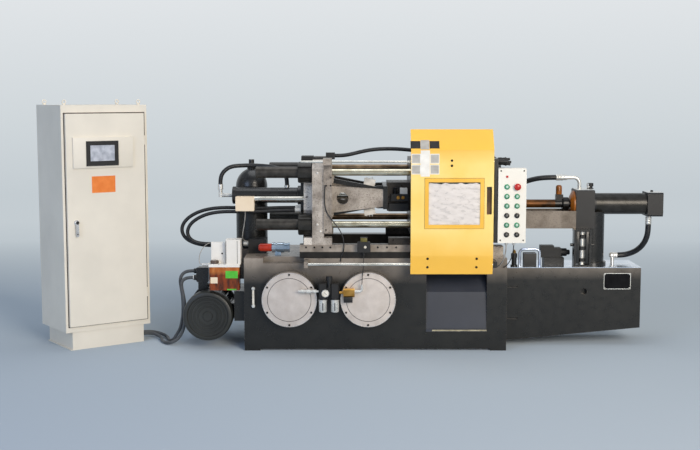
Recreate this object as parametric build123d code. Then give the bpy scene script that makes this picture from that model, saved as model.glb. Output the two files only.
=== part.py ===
"""Horizontal cold-chamber die casting machine with its control cabinet.

Millimetres. X runs along the machine from the clamping end to the injection end,
Y runs away from the operator, Z is up and the floor is Z = 0.
"""
import math
import os

from build123d import *

# Clearances
BORE_CLEAR = 0.3
GUIDE_CLEAR = 0.5
KNOB_RIM = 3

# Bed and injection base
BED_LEFT = -690
BED_RIGHT = 1022
BED_HALF_DEPTH = 350
BED_TOP = 610
FOOT_HEIGHT = 13
FOOT_WIDTH = 104
INJECTION_BASE_LENGTH = 913
INJECTION_BASE_RIGHT = BED_RIGHT + INJECTION_BASE_LENGTH
INJECTION_BASE_TOP = 522
INJECTION_BASE_HALF_DEPTH = 180
INJECTION_BASE_BOTTOM_LEFT = 34
INJECTION_BASE_BOTTOM_RIGHT = 120
DECK_SHEET = 4
DECK_TOP = INJECTION_BASE_TOP + DECK_SHEET
NOTCH_INSET = 125
NOTCH_LENGTH = 266
NOTCH_DEPTH = 34
NOTCH_REACH = 90
SLOT_LENGTH = 75
SLOT_HEIGHT = 14
SLOT_INSET = 24
SLOT_DEPTH = 12
SLOT_DROPS = (125, 338)
BASE_HOLE_INSET = 535
BASE_HOLE_DROP = 158
BASE_HOLE_RADIUS = 22
BASE_HOLE_DEPTH = 40

# Round inspection covers of the oil tank
COVER_X = (-392, 117)
COVER_Z = 350
COVER_RADIUS = 178
COVER_THICKNESS = 14
COVER_GROOVE_RADIUS = 139
COVER_GROOVE_WIDTH = 3
COVER_GROOVE_DEPTH = 1
NECK_OVERLAP = 5
NECK_RADIUS = COVER_RADIUS + NECK_OVERLAP
NECK_LENGTH = 70

# Chute under the guard
CHUTE_LEFT = 497
CHUTE_WIDTH = 395
CHUTE_RIGHT = CHUTE_LEFT + CHUTE_WIDTH
CHUTE_BOTTOM = 126
CHUTE_HEIGHT = 378
CHUTE_TOP = CHUTE_BOTTOM + CHUTE_HEIGHT
CHUTE_BEND = CHUTE_TOP - 119
CHUTE_DEPTH = 120
CHUTE_SHEET = 5
CHUTE_LIP = 18
CHUTE_BEND_SETBACK = 22
CHUTE_FOOT_SETBACK = 4

# Oil level gauge
GAUGE_INSET = 61
GAUGE_X = BED_LEFT + GAUGE_INSET
GAUGE_BOTTOM = 288
GAUGE_HEIGHT = 137
GAUGE_WIDTH = 26
GAUGE_DEPTH = 20
GAUGE_CORNER = 6
SIGHT_HEIGHT = 84
SIGHT_WIDTH = 13
SIGHT_DEPTH = 4

# Bed ways
WAY_LEFT = -327
WAY_LENGTH = 947
WAY_RIGHT = WAY_LEFT + WAY_LENGTH
WAY_WIDTH = 90
WAY_HEIGHT = 87
WAY_TOP = BED_TOP + WAY_HEIGHT
SLIDE_HEIGHT = 45
SLIDE_TOP = WAY_TOP + SLIDE_HEIGHT
SLIDE_SETBACK = 8

# Clamping unit, from the tail platen at the left to the fixed platen at the right
CLAMP_Z = 992
TIE_HALF_HEIGHT = 171
TIE_HALF_SPAN = 260
TIE_BAR_RADIUS = 22
TIE_BAR_END = 12
TIE_SLEEVE_RADIUS = 37
TIE_SLEEVE_LENGTH = 275
REAR_SLEEVE_LENGTH = 221
SLEEVE_END = 24
SLEEVE_CHAMFER = 4
TIE_NUT_RADIUS = 69
TIE_NUT_LENGTH = 94
TIE_NUT_CHAMFER = 6
NUT_SLOTS = 6
NUT_SLOT_WIDTH = 14
NUT_SLOT_DEPTH = 8
TIE_END_NUT_RADIUS = 57
TIE_END_NUT_LENGTH = 50
PLATEN_HALF_WIDTH = 340
PLATEN_RISE = 250
PLATEN_TOP = CLAMP_Z + PLATEN_RISE
PLATEN_CHAMFER = 55
TAIL_RIGHT = -170
TAIL_THICKNESS = 75
TAIL_LEFT = TAIL_RIGHT - TAIL_THICKNESS
TAIL_BODY_DEPTH = 60
TAIL_BODY_LEFT = TAIL_LEFT - TAIL_BODY_DEPTH
TAIL_BODY_HALF_WIDTH = 200
TAIL_BODY_HALF_HEIGHT = 106
TAIL_BODY_CORNER = 24
SLIDE_LEFT = TAIL_LEFT - 55
SLIDE_RIGHT = TAIL_RIGHT + 53
MOVING_LEFT = 400
MOVING_THICKNESS = 130
MOVING_RIGHT = MOVING_LEFT + MOVING_THICKNESS
MOVING_SHOE_REACH = 150
FIXED_LEFT = 788
FIXED_THICKNESS = 130
FIXED_RIGHT = FIXED_LEFT + FIXED_THICKNESS
CLAMP_CYLINDER_LENGTH = 441
CLAMP_CYLINDER_RADIUS = 52
CLAMP_CAP_RADIUS = 59
CLAMP_CAP_LENGTH = 22
CLAMP_CAP_CHAMFER = 4
CLAMP_FLANGE_THICKNESS = 24
CLAMP_FLANGE_LEFT = TAIL_BODY_LEFT - CLAMP_FLANGE_THICKNESS
CLAMP_CYLINDER_LEFT = CLAMP_FLANGE_LEFT - CLAMP_CYLINDER_LENGTH
CLAMP_FLANGE_HALF = 106
CLAMP_FLANGE_CORNER = 18
CLAMP_COLLAR_RADIUS = 64
CLAMP_COLLAR_LENGTH = 26
CLAMP_ROD_RADIUS = 26

# Toggle: cheeks that carry the crosshead, and four links on pins
CHEEK_LENGTH = 389
CHEEK_RIGHT = TAIL_RIGHT + CHEEK_LENGTH
CHEEK_THICKNESS = 40
CHEEK_FRONT = 200
CHEEK_TOP_LEFT = 80
CHEEK_TOP_RIGHT = 54
CHEEK_BOTTOM_LEFT = 106
CHEEK_BOTTOM_RIGHT = 60
CHEEK_HOLE_INSET = 121
CHEEK_HOLE_DROP = 6
CHEEK_HOLE_RADIUS = 39
CROSS_PLATE_THICKNESS = 28
CROSS_PLATE_RIGHT = CHEEK_RIGHT + CROSS_PLATE_THICKNESS
CROSS_PLATE_HALF_HEIGHT = 76
CROSS_PLATE_OVERHANG = 10
LINK_THICKNESS = 36
LINK_OUTER = 150
LINK_INNER = LINK_OUTER - LINK_THICKNESS
LINK_RADIUS = 21
LINK_WAIST = 15
PIN_RADIUS = 11
PIN_HEAD_RADIUS = 15
PIN_HEAD = 5
EAR_THICKNESS = 9
EAR_RADIUS = 25
TAIL_PIN_REACH = 38
TAIL_PIN_RISE = 112
CROSS_PIN_INSET = 32
CROSS_PIN_RISE = 50
BOSS_HALF_WIDTH = 120
BOSS_HALF_HEIGHT = 95

# Guide rods of the guard, on arms in front of the bed and the platens
GUARD_ROD_REACH = 108
GUARD_ROD_Y = -BED_HALF_DEPTH - GUARD_ROD_REACH
UPPER_ROD_Z = PLATEN_TOP
UPPER_ROD_RADIUS = 8
LOWER_ROD_DROP = 25
LOWER_ROD_Z = BED_TOP - LOWER_ROD_DROP
LOWER_ROD_RADIUS = 10
UPPER_ROD_LEFT = TAIL_LEFT - 69
LOWER_ROD_LEFT = WAY_LEFT + 33
ROD_BRACKET_WIDTH = 24
ROD_EYE_HALF = 20
STRIP_WIDTH = 56
STRIP_OVERLAP = 2
STRIP_THICKNESS = 12
STRIP_BOTTOM = SLIDE_TOP + 33
POST_THICKNESS = 22
STEADY_BAR_RADIUS = 16
STEADY_BAR_Y = -175
STEADY_BAR_DROP = 10

# Sliding guard door
GUARD_LEFT = 386
GUARD_WIDTH = 526
GUARD_RIGHT = GUARD_LEFT + GUARD_WIDTH
GUARD_BOTTOM = LOWER_ROD_Z - 61
GUARD_LOWER_FLAP = 121
GUARD_LOWER_BEND = GUARD_BOTTOM + GUARD_LOWER_FLAP
GUARD_TOP = UPPER_ROD_Z + 205
GUARD_UPPER_FLAP = 128
GUARD_UPPER_BEND = GUARD_TOP - GUARD_UPPER_FLAP
GUARD_FACE = GUARD_ROD_Y - 32
GUARD_BOTTOM_FACE = GUARD_FACE + 20
GUARD_TOP_FACE = GUARD_FACE + 90
GUARD_SHEET = 2.5
WINDOW_INSET_LEFT = 113
WINDOW_INSET_RIGHT = 86
WINDOW_LEFT = GUARD_LEFT + WINDOW_INSET_LEFT
WINDOW_RIGHT = GUARD_RIGHT - WINDOW_INSET_RIGHT
WINDOW_DROP = 204
WINDOW_TOP = GUARD_UPPER_BEND - WINDOW_DROP
WINDOW_HEIGHT = 271
WINDOW_BOTTOM = WINDOW_TOP - WINDOW_HEIGHT
WINDOW_FRAME = 24
WINDOW_FRAME_RISE = 4
WINDOW_PANE = 5
WINDOW_OVERLAP = 12
HANDLE_INSET = 12
HANDLE_WIDTH = 32
HANDLE_RIGHT = GUARD_RIGHT - HANDLE_INSET
HANDLE_LEFT = HANDLE_RIGHT - HANDLE_WIDTH
HANDLE_DROP = 29
HANDLE_HEIGHT = 176
HANDLE_TOP = WINDOW_TOP - HANDLE_DROP
HANDLE_BOTTOM = HANDLE_TOP - HANDLE_HEIGHT
HANDLE_CUP_DEPTH = 19
HANDLE_CUP_WALL = 3
HANDLE_CUP_RIM = 6
HANGER_WIDTH = 60
HANGER_INSET = 30
HANGER_HALF = 18

# Fixed guard on the far side
REAR_FOOT_WIDTH = 60
REAR_FOOT_INSET = 20
REAR_FOOT_BOTTOM = BED_TOP - 40
REAR_FOOT_TOP = BED_TOP - 10
REAR_TIE_BOTTOM = UPPER_ROD_Z - 90
REAR_TIE_TOP = UPPER_ROD_Z - 50

# Push-button box
BUTTON_BOX_WIDTH = 178
BUTTON_BOX_LEFT = FIXED_RIGHT + POST_THICKNESS
BUTTON_BOX_RIGHT = BUTTON_BOX_LEFT + BUTTON_BOX_WIDTH
BUTTON_BOX_HEIGHT = 476
BUTTON_BOX_TOP = UPPER_ROD_Z - 39
BUTTON_BOX_BOTTOM = BUTTON_BOX_TOP - BUTTON_BOX_HEIGHT
BUTTON_BOX_DEPTH = 85
BUTTON_BOX_CORNER = 6
BUTTON_INSET = 55
BUTTON_SPACING = 65
BUTTON_DROP = 117
BUTTON_PITCH = 61
BUTTON_ROWS = 6
BUTTON_RADIUS = 15
BUTTON_CAP_RADIUS = 11
BUTTON_HEIGHT = 7
BUTTON_CAP_HEIGHT = 12
STOP_RADIUS = 22
STOP_HEIGHT = 26
STOP_HEAD = 12
LAMP_DROP = 53
LAMP_RADIUS = 8
LAMP_HEIGHT = 6

# Nitrogen accumulator
ACCUMULATOR_INSET = 10
ACCUMULATOR_X = BED_LEFT + ACCUMULATOR_INSET
ACCUMULATOR_Y = 200
ACCUMULATOR_RADIUS = 108
ACCUMULATOR_SHOULDER = 1031
ACCUMULATOR_DOME = 126
ACCUMULATOR_TOP = ACCUMULATOR_SHOULDER + ACCUMULATOR_DOME
ACCUMULATOR_FOOT_INSET = 40
ACCUMULATOR_FOOT_HEIGHT = 45
ACCUMULATOR_COLLAR_RADIUS = 30
ACCUMULATOR_COLLAR_HEIGHT = 14
ACCUMULATOR_VALVE_HEIGHT = 66
ACCUMULATOR_VALVE_RADIUS = 19
SHELF_REACH = 110
SHELF_THICKNESS = 20
SHELF_HALF_WIDTH = 95
SHELF_GUSSET_DROP = 150
SHELF_GUSSET_THICKNESS = 10

# Pump motor
MOTOR_REACH = 243
MOTOR_X = BED_LEFT - MOTOR_REACH
MOTOR_Z = 222
COWL_RADIUS = 163
COWL_FRONT = -330
COWL_LENGTH = 100
COWL_WALL = 4
COWL_BEVEL = 5
COWL_LIP = 16
GRILLE_SLOTS = 7
GRILLE_PITCH = 26
GRILLE_SLOT_WIDTH = 9
GRILLE_RADIUS = 104
MOTOR_RADIUS = 146
MOTOR_CORE_RADIUS = 130
MOTOR_FINS = 20
MOTOR_FIN_THICKNESS = 5
MOTOR_REAR = 60
MOTOR_FLANGE_RADIUS = 160
MOTOR_FLANGE_LENGTH = 20
BELL_RADIUS = 105
BELL_LENGTH = 110
PUMP_RADIUS = 68
PUMP_LENGTH = 100
MOTOR_PAD_REACH = 172
MOTOR_PAD_INSET = 72
MOTOR_PAD_FRONT = -190
MOTOR_PAD_REAR = 10
MOTOR_PAD_HEIGHT = 100
BRACKET_FRONT = -290
BRACKET_REAR = 40
BRACKET_BOTTOM = 186
BRACKET_TOP = 384
TERMINAL_INSET = 83
TERMINAL_LEFT = MOTOR_X - TERMINAL_INSET
TERMINAL_WIDTH = 76
TERMINAL_RIGHT = TERMINAL_LEFT + TERMINAL_WIDTH
TERMINAL_FRONT = -205
TERMINAL_DEPTH = 95
TERMINAL_REAR = TERMINAL_FRONT + TERMINAL_DEPTH
TERMINAL_BOTTOM = 431
TERMINAL_HEIGHT = 94
TERMINAL_TOP = TERMINAL_BOTTOM + TERMINAL_HEIGHT
TERMINAL_CORNER = 8
TERMINAL_LID = 9
TERMINAL_RISER_INSET = 8
GLAND_RADIUS = 17
GLAND_NUT_RADIUS = 20
GLAND_NUT_LENGTH = 10
GLAND_LENGTH = 26
GLAND_PLACES = ((-180, 458), (-135, 496))

# Lubricator beside the bed
LUBE_GAP = 28
LUBE_RIGHT = BED_LEFT - LUBE_GAP
LUBE_WIDTH = 205
LUBE_LEFT = LUBE_RIGHT - LUBE_WIDTH
LUBE_BACK = -226
LUBE_DEPTH = 110
LUBE_FRONT = LUBE_BACK - LUBE_DEPTH
LUBE_TANK_BOTTOM = 396
LUBE_TANK_HEIGHT = 153
LUBE_TANK_INSET = 4
LUBE_TANK_CORNER = 12
LUBE_FLANGE_BOTTOM = LUBE_TANK_BOTTOM + LUBE_TANK_HEIGHT
LUBE_FLANGE_THICKNESS = 18
LUBE_FLANGE_TOP = LUBE_FLANGE_BOTTOM + LUBE_FLANGE_THICKNESS
LUBE_FLANGE_CORNER = 6
LUBE_PUMP_HEIGHT = 138
LUBE_PUMP_WIDTH = 94
LUBE_PUMP_INSET = 12
LUBE_PUMP_DEPTH = 44
LUBE_MOTOR_HEIGHT = 161
LUBE_MOTOR_WIDTH = 99
LUBE_MOTOR_OVERHANG = 6
LUBE_BOX_CORNER = 5
LUBE_CAP_RADIUS = 27
LUBE_CAP_HEIGHT = 24
LUBE_CAP_INSET = 38
LUBE_CAP_SETBACK = 3
LUBE_OUTLET_RADIUS = 8
LUBE_OUTLET_LENGTH = 46
LUBE_PLATE = 6
LUBE_PLATE_DROP = 93

# Air service unit in front of the tank
AIR_LEFT = -200
AIR_WIDTH = 131
AIR_RIGHT = AIR_LEFT + AIR_WIDTH
AIR_BOTTOM = 373
AIR_HEIGHT = 90
AIR_TOP = AIR_BOTTOM + AIR_HEIGHT
AIR_FRONT = -500
AIR_DEPTH = 54
AIR_BACK = AIR_FRONT + AIR_DEPTH
AIR_Y = (AIR_FRONT + AIR_BACK) / 2
AIR_NECK = 17
AIR_NECK_DROP = 26
AIR_CORNER = 6
AIR_BOWL_RADIUS = 25
AIR_BOWL_INSETS = (26, 103)
AIR_BOWL_LENGTH = 94
AIR_BOWL_COLLAR = 28
AIR_BOWL_COLLAR_HEIGHT = 12
AIR_KNOB_INSET = 67
AIR_KNOB_RADIUS = 21
AIR_KNOB_HEIGHT = 26
AIR_BONNET_RADIUS = 17
AIR_BONNET_HEIGHT = 48
AIR_GAUGE_INSET = 42
AIR_GAUGE_Z = 405
AIR_GAUGE_RADIUS = 24
AIR_GAUGE_DEPTH = 8
AIR_ARM_HALF = 28
AIR_ARM_MARGIN = 20
AIR_COUPLER_LENGTH = 131
AIR_COUPLER_RADIUS = 7
AIR_COUPLER_Z = 413
AIR_COUPLER_RINGS = ((18, 22), (52, 30), (96, 20))
AIR_COUPLER_RING_RADIUS = 12

# Valve at the right of the air service unit
AIR_VALVE_GAP = 26
AIR_VALVE_LENGTH = 73
AIR_VALVE_HALF = 20
AIR_VALVE_BOTTOM = 378
AIR_VALVE_HEIGHT = 54
AIR_VALVE_COIL_LENGTH = 56
AIR_VALVE_COIL_DROP = 35
AIR_PIPE_RADIUS = 9
AIR_ELBOW_REACH = 54
AIR_ELBOW_RISE = 43
AIR_ELBOW_RADIUS = 8
AIR_ELBOW_BEND = 14
AIR_VALVE_BEVEL = 8
AIR_VALVE_COIL_INSET = 3

# Small boxes
JUNCTION_INSET = 16
JUNCTION_WIDTH = 122
JUNCTION_HEIGHT = 96
JUNCTION_RISE = 8
JUNCTION_LEFT = CLAMP_CYLINDER_LEFT + JUNCTION_INSET
JUNCTION_RIGHT = JUNCTION_LEFT + JUNCTION_WIDTH
JUNCTION_TOP = CLAMP_Z + JUNCTION_RISE
JUNCTION_BOTTOM = JUNCTION_TOP - JUNCTION_HEIGHT
JUNCTION_FRONT = -210
JUNCTION_DEPTH = 70
JUNCTION_LID = 14
JUNCTION_LIP = 2
JUNCTION_ARM_HALF = 20
JUNCTION_ARM_DROPS = (60, 10)
SWITCH_LEFT = 47
SWITCH_WIDTH = 85
SWITCH_RISE = 45
SWITCH_BODY_HEIGHT = 66
SWITCH_HEAD_HEIGHT = 29
SWITCH_HEAD_INSET = 20
SWITCH_DEPTH = 55
SWITCH_GLAND_RADIUS = 10
SWITCH_GLAND_LENGTH = 22
SWITCH_BEVEL = 5
FILTER_Y = -200
FILTER_RISE = 52
FILTER_Z = BED_TOP + FILTER_RISE
FILTER_RADIUS = 26
FILTER_LENGTH = 88
FILTER_DOME = 10
STRAINER_RADIUS = 34
STRAINER_LENGTH = 118
STRAINER_BAND = 12
STRAINER_GROOVE = 5
STRAINER_END_STEP = 2
FILTER_LEFT = -604
FILTER_JOINT = FILTER_LEFT + FILTER_LENGTH
FILTER_FOOT_INSET = 20
FILTER_FOOT_WIDTH = 40

# Injection unit, from the fixed platen to the cap of the injection cylinder
SHOT_Z = 935
SHOT_STROKE = 250
FRAME_LENGTH = 594
FRAME_BOTTOM = 776
FRAME_TOP = 893
FRAME_HALF_WIDTH = 95
FRAME_WALL = 20
HEAD_LEFT = FIXED_RIGHT + FRAME_LENGTH
HEAD_LENGTH = 124
HEAD_RIGHT = HEAD_LEFT + HEAD_LENGTH
HEAD_BOTTOM = FRAME_BOTTOM
HEAD_RISE = 101
HEAD_TOP = SHOT_Z + HEAD_RISE
HEAD_HALF_WIDTH = 95
HEAD_CHAMFER = 8
HEAD_PLUG_RADIUS = 15
HEAD_PLUG_HEIGHT = 36
HEAD_PLUG_INSET = 17
HEAD_PLUG_STEP = 5
SHOT_FLANGE_THICKNESS = 28
SHOT_FLANGE_LEFT = HEAD_LEFT - SHOT_FLANGE_THICKNESS
SHOT_FLANGE_RADIUS = 88
SHOT_FLANGE_NOSE = 54
SHOT_FLANGE_RIM = 10
SHOT_CYLINDER_LENGTH = 357
SHOT_CYLINDER_RIGHT = HEAD_RIGHT + SHOT_CYLINDER_LENGTH
SHOT_CYLINDER_RADIUS = 71
SHOT_COLLAR_RADIUS = 78
SHOT_COLLAR_LENGTH = 16
SHOT_CAP_LENGTH = 104
SHOT_CAP_RIGHT = SHOT_CYLINDER_RIGHT + SHOT_CAP_LENGTH
SHOT_CAP_HALF = 81
SHOT_CAP_CHAMFER = 10
SHOT_PLUG_LENGTH = 18
SHOT_PLUG_RADIUS = 17
SHOT_PLUG_DROP = 55
SHOT_ROD_RADIUS = 28
SHOT_BORE_SPARE = 60
COUPLING_GAP = 8
COUPLING_LENGTH = 44
COUPLING_RADIUS = 44
COUPLING_CHAMFER = 5
COUPLING_LEFT = SHOT_FLANGE_LEFT - COUPLING_GAP - COUPLING_LENGTH
STRIKER_LENGTH = 44
STRIKER_HALF = 20
STRIKER_BLOCK_RISE = 62
STRIKER_CAP_RISE = 125
STRIKER_CAP_RADIUS = 20
STRIKER_CAP_DOME = 12
STRIKER_LEFT = COUPLING_LEFT - STRIKER_LENGTH
STRIKER_CLEAR = 8
SLEEVE_RADIUS = 55
SLEEVE_BORE = 31
SLEEVE_RIGHT = STRIKER_LEFT - SHOT_STROKE - STRIKER_CLEAR
PLUNGER_RADIUS = 30.5
PLUNGER_LENGTH = 60
PLUNGER_SETBACK = 2
PLUNGER_LEFT = SLEEVE_RIGHT - PLUNGER_LENGTH - PLUNGER_SETBACK
POUR_HALF_LENGTH = 55
POUR_HALF_WIDTH = 24
POUR_X = PLUNGER_LEFT - POUR_HALF_LENGTH - 5
COLUMN_INSET = 1
COLUMN_X = HEAD_RIGHT - COLUMN_INSET
COLUMN_RADIUS = 85
COLUMN_FLANGE_RADIUS = 100
COLUMN_FLANGE_HEIGHT = 18
COLUMN_SADDLE_DROP = 50

# Screw jack in front of the column
JACK_OVERHANG = 23
JACK_LEFT = HEAD_LEFT - JACK_OVERHANG
JACK_WIDTH = 116
JACK_RIGHT = JACK_LEFT + JACK_WIDTH
JACK_FRONT = -165
JACK_DEPTH = 60
JACK_BACK = JACK_FRONT + JACK_DEPTH
JACK_PLATE = 14
JACK_SCREW_RADIUS = 15
JACK_NUT_RADIUS = 25
JACK_NUT_HEIGHT = 24
JACK_NUT_RISES = (34, 112, 190)
JACK_KNOB_RADIUS = 10
JACK_KNOB_LENGTH = 20
JACK_KNOB_RISE = 145

# Valves
VALVE_GAP = 21
VALVE_LENGTH = 179
VALVE_RIGHT = JACK_LEFT - VALVE_GAP
VALVE_LEFT = VALVE_RIGHT - VALVE_LENGTH
VALVE_HALF_WIDTH = 45
VALVE_BASE_HEIGHT = 46
VALVE_BASE_INSET = 22
VALVE_BODY_HALF = 34
VALVE_BODY_HEIGHT = 64
VALVE_BODY_LENGTH = 139
VALVE_CAP_HEIGHT = 16
VALVE_CAP_LENGTH = 90
VALVE_COIL_RADIUS = 27
VALVE_KNOB_RADIUS = 17
VALVE_KNOB_LENGTH = 22
BOSS_PORT_SHARES = (0.25, 0.75)
CLAMP_VALVE_LEFT = -680
CLAMP_VALVE_LENGTH = 120
CLAMP_VALVE_FRONT = -110
CLAMP_VALVE_DEPTH = 140
CLAMP_VALVE_HEIGHT = 95
BOSS_VALVE_RIGHT = MOVING_LEFT - 16
BOSS_VALVE_LENGTH = 112
BOSS_VALVE_DEPTH = 60
BOSS_VALVE_BOTTOM = CLAMP_Z - 24
BOSS_VALVE_HEIGHT = 46
BOSS_PORT_RADIUS = 12
BOSS_PORT_RISE = 42
BOSS_BLOCK_LENGTH = 129
BOSS_BLOCK_DEPTH = 70
BOSS_BLOCK_BOTTOM = CLAMP_Z - 92
BOSS_BLOCK_HEIGHT = 52
TOP_BLOCK_FRONT = -150
TOP_BLOCK_REAR = -30
TOP_PLATE = 14
TOP_BLOCK_LEFT = TAIL_LEFT - 77
TOP_BLOCK_LENGTH = 80
TOP_BLOCK_HEIGHT = 20
TOP_BLOCK_DROP = 10
TOP_PORT_LENGTH = 60
TOP_PORT_HEIGHT = 40
LOOP_GAP = 21
LOOP_WIDTH = 133
LOOP_RIGHT = VALVE_LEFT - LOOP_GAP
LOOP_LEFT = LOOP_RIGHT - LOOP_WIDTH
LOOP_Y = -120
LOOP_HEIGHT = 114
LOOP_RADIUS = 9
LOOP_BEND = 28
PILOT_INSET = 26
PILOT_HALF = 30
PILOT_HEIGHT = 90

# Control cabinet, turned towards the operator
CABINET_CORNER = (-1848, -382)
CABINET_TURN = 35.4
CABINET_WIDTH = 600
CABINET_DEPTH = 420
CABINET_TOP = 1600
PLINTH_HEIGHT = 120
PLINTH_INSET_SIDE = 46
PLINTH_INSET_FRONT = 8
PLINTH_SHEET = 3
PLINTH_GLAND = 20
PLINTH_FLANGE = 12
PLINTH_FLANGE_HEIGHT = 5
CONDUIT_EXITS = (75, 130)
CONDUIT_EXIT_Z = 40
CONDUIT_HOLE = 14
SHELL_SHEET = 3
SHELL_RIM = 22
DOOR_MARGIN_SIDE = 22
DOOR_BOTTOM = 160
DOOR_MARGIN_TOP = 55
DOOR_TOP = CABINET_TOP - DOOR_MARGIN_TOP
DOOR_THICKNESS = 20
DOOR_SHEET = 2.5
DOOR_GAP = 1
DOOR_FRONT = -DOOR_GAP - DOOR_THICKNESS
HINGE_X = CABINET_WIDTH - DOOR_MARGIN_SIDE
HINGE_RADIUS = 7
HINGE_PIN_RADIUS = 3
HINGE_LEAF = 4
HINGE_LENGTH = 62
HINGE_Z = (DOOR_BOTTOM + 182, DOOR_TOP - 179)
DOOR_RIGHT = HINGE_X - HINGE_RADIUS - DOOR_GAP
PANEL_MARGIN_LEFT = 55
PANEL_MARGIN_RIGHT = 71
PANEL_LEFT = DOOR_MARGIN_SIDE + PANEL_MARGIN_LEFT
PANEL_RIGHT = DOOR_RIGHT - PANEL_MARGIN_RIGHT
PANEL_DROP = 153
PANEL_HEIGHT = 225
PANEL_TOP = DOOR_TOP - PANEL_DROP
PANEL_BOTTOM = PANEL_TOP - PANEL_HEIGHT
PANEL_RISE = 16
PANEL_CHAMFER = 5
BEZEL_MARGIN_LEFT = 89
BEZEL_MARGIN_RIGHT = 111
BEZEL_MARGIN_TOP = 22
BEZEL_MARGIN_BOTTOM = 25
BEZEL_RISE = 6
SCREEN_BORDER = 26
SCREEN_DEPTH = 2
LOCK_INSET = 58
LOCK_X = DOOR_MARGIN_SIDE + LOCK_INSET
LOCK_Z = 843
LOCK_RADIUS = 16
LOCK_HEIGHT = 9
LOCK_SHAFT_RADIUS = 8
LOCK_NUT_RADIUS = 14
LOCK_NUT_HEIGHT = 6
LEVER_LENGTH = 92
LEVER_WIDTH = 18
LEVER_THICKNESS = 12
EYE_RADIUS = 16
EYE_WIRE = 4
EYE_INSET = 40
EYE_BASE_RADIUS = 11
EYE_BASE_HEIGHT = 6
MOUNT_PLATE_MARGIN = 45
MOUNT_PLATE_GAP = 27
MOUNT_PLATE_SHEET = 3

# Hose fittings
PORT_RADIUS = 13
SMALL_PORT_RADIUS = 15
FERRULE_RADIUS = 18
FERRULE_GROOVE = 3
FERRULE_GROOVE_SPAN = (0.3, 0.55)
FERRULE_LENGTH = 34
ELBOW_FERRULE_LENGTH = 70
ELBOW_BEND = 40
CLAMP_PORT_COLLAR = 12
CLAMP_PORT_REACH = 30
DECK_ADAPTER_LENGTH = 40
DECK_RISER_INSET = 25
PLATEN_PORT_HEIGHT = 28
PLATEN_FERRULE_LENGTH = 24


def block(x0, x1, y0, y1, z0, z1):
    middle = Pos((x0 + x1) / 2, (y0 + y1) / 2, (z0 + z1) / 2)
    return middle * Box(x1 - x0, y1 - y0, z1 - z0)


def rounded(piece, axis, radius):
    """The piece with its edges along an axis rounded."""
    return fillet(piece.edges().filter_by(axis), radius)


def rod_x(x0, x1, y, z, radius):
    return Pos((x0 + x1) / 2, y, z) * Rot(0, 90, 0) * Cylinder(radius, x1 - x0)


def rod_y(y0, y1, x, z, radius):
    return Pos(x, (y0 + y1) / 2, z) * Rot(90, 0, 0) * Cylinder(radius, y1 - y0)


def rod_z(z0, z1, x, y, radius):
    return Pos(x, y, (z0 + z1) / 2) * Cylinder(radius, z1 - z0)


def turned(steps):
    """A turned solid along Z, from its (height, radius) steps."""
    points = [(0, 0, steps[0][0])]
    points += [(radius, 0, height) for height, radius in steps]
    points += [(0, 0, steps[-1][0])]
    return revolve(make_face(Polyline(*points, close=True)), axis=Axis.Z)


def along_x(x, y, z):
    """Place of a turned solid that points to +X."""
    return Pos(x, y, z) * Rot(0, 90, 0)


def towards_front(x, y, z):
    """Place of a turned solid that points to -Y."""
    return Pos(x, y, z) * Rot(90, 0, 0)


def plate_xz(points, y0, y1):
    """A plate whose outline is given in X and Z."""
    outline = Polyline(*[(x, y0, z) for x, z in points], close=True)
    return extrude(make_face(outline), amount=y1 - y0, dir=(0, 1, 0))


def plate_yz(points, x0, x1):
    """A plate whose outline is given in Y and Z."""
    outline = Polyline(*[(x0, y, z) for y, z in points], close=True)
    return extrude(make_face(outline), amount=x1 - x0, dir=(1, 0, 0))


def both_sides(piece):
    """The piece and its mirror image across the centre line, as two loose solids."""
    return Compound(children=[piece, mirror(piece, about=Plane.XZ)])


def loose(*pieces):
    """Separate solids that share one node."""
    return Compound(children=list(pieces))


def tie_positions():
    for side in (-1, 1):
        for level in (-1, 1):
            yield side * TIE_HALF_SPAN, CLAMP_Z + level * TIE_HALF_HEIGHT


# Bed


def bed():
    body = block(BED_LEFT, BED_RIGHT, -BED_HALF_DEPTH, BED_HALF_DEPTH, FOOT_HEIGHT, BED_TOP)
    for x in (BED_LEFT, BED_RIGHT - FOOT_WIDTH):
        for y in (-BED_HALF_DEPTH, BED_HALF_DEPTH - FOOT_WIDTH):
            body += block(x, x + FOOT_WIDTH, y, y + FOOT_WIDTH, 0, FOOT_HEIGHT)
    front = -BED_HALF_DEPTH
    notch_left = BED_LEFT + NOTCH_INSET
    notch_right = notch_left + NOTCH_LENGTH
    body -= block(notch_left, notch_right, front, front + NOTCH_REACH, BED_TOP - NOTCH_DEPTH, BED_TOP)
    body -= block(CHUTE_LEFT, CHUTE_RIGHT, front, front + CHUTE_DEPTH, CHUTE_BOTTOM, CHUTE_TOP)
    for x in COVER_X:
        body += rod_y(front - NECK_LENGTH, front, x, COVER_Z, NECK_RADIUS)
    return body


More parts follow.
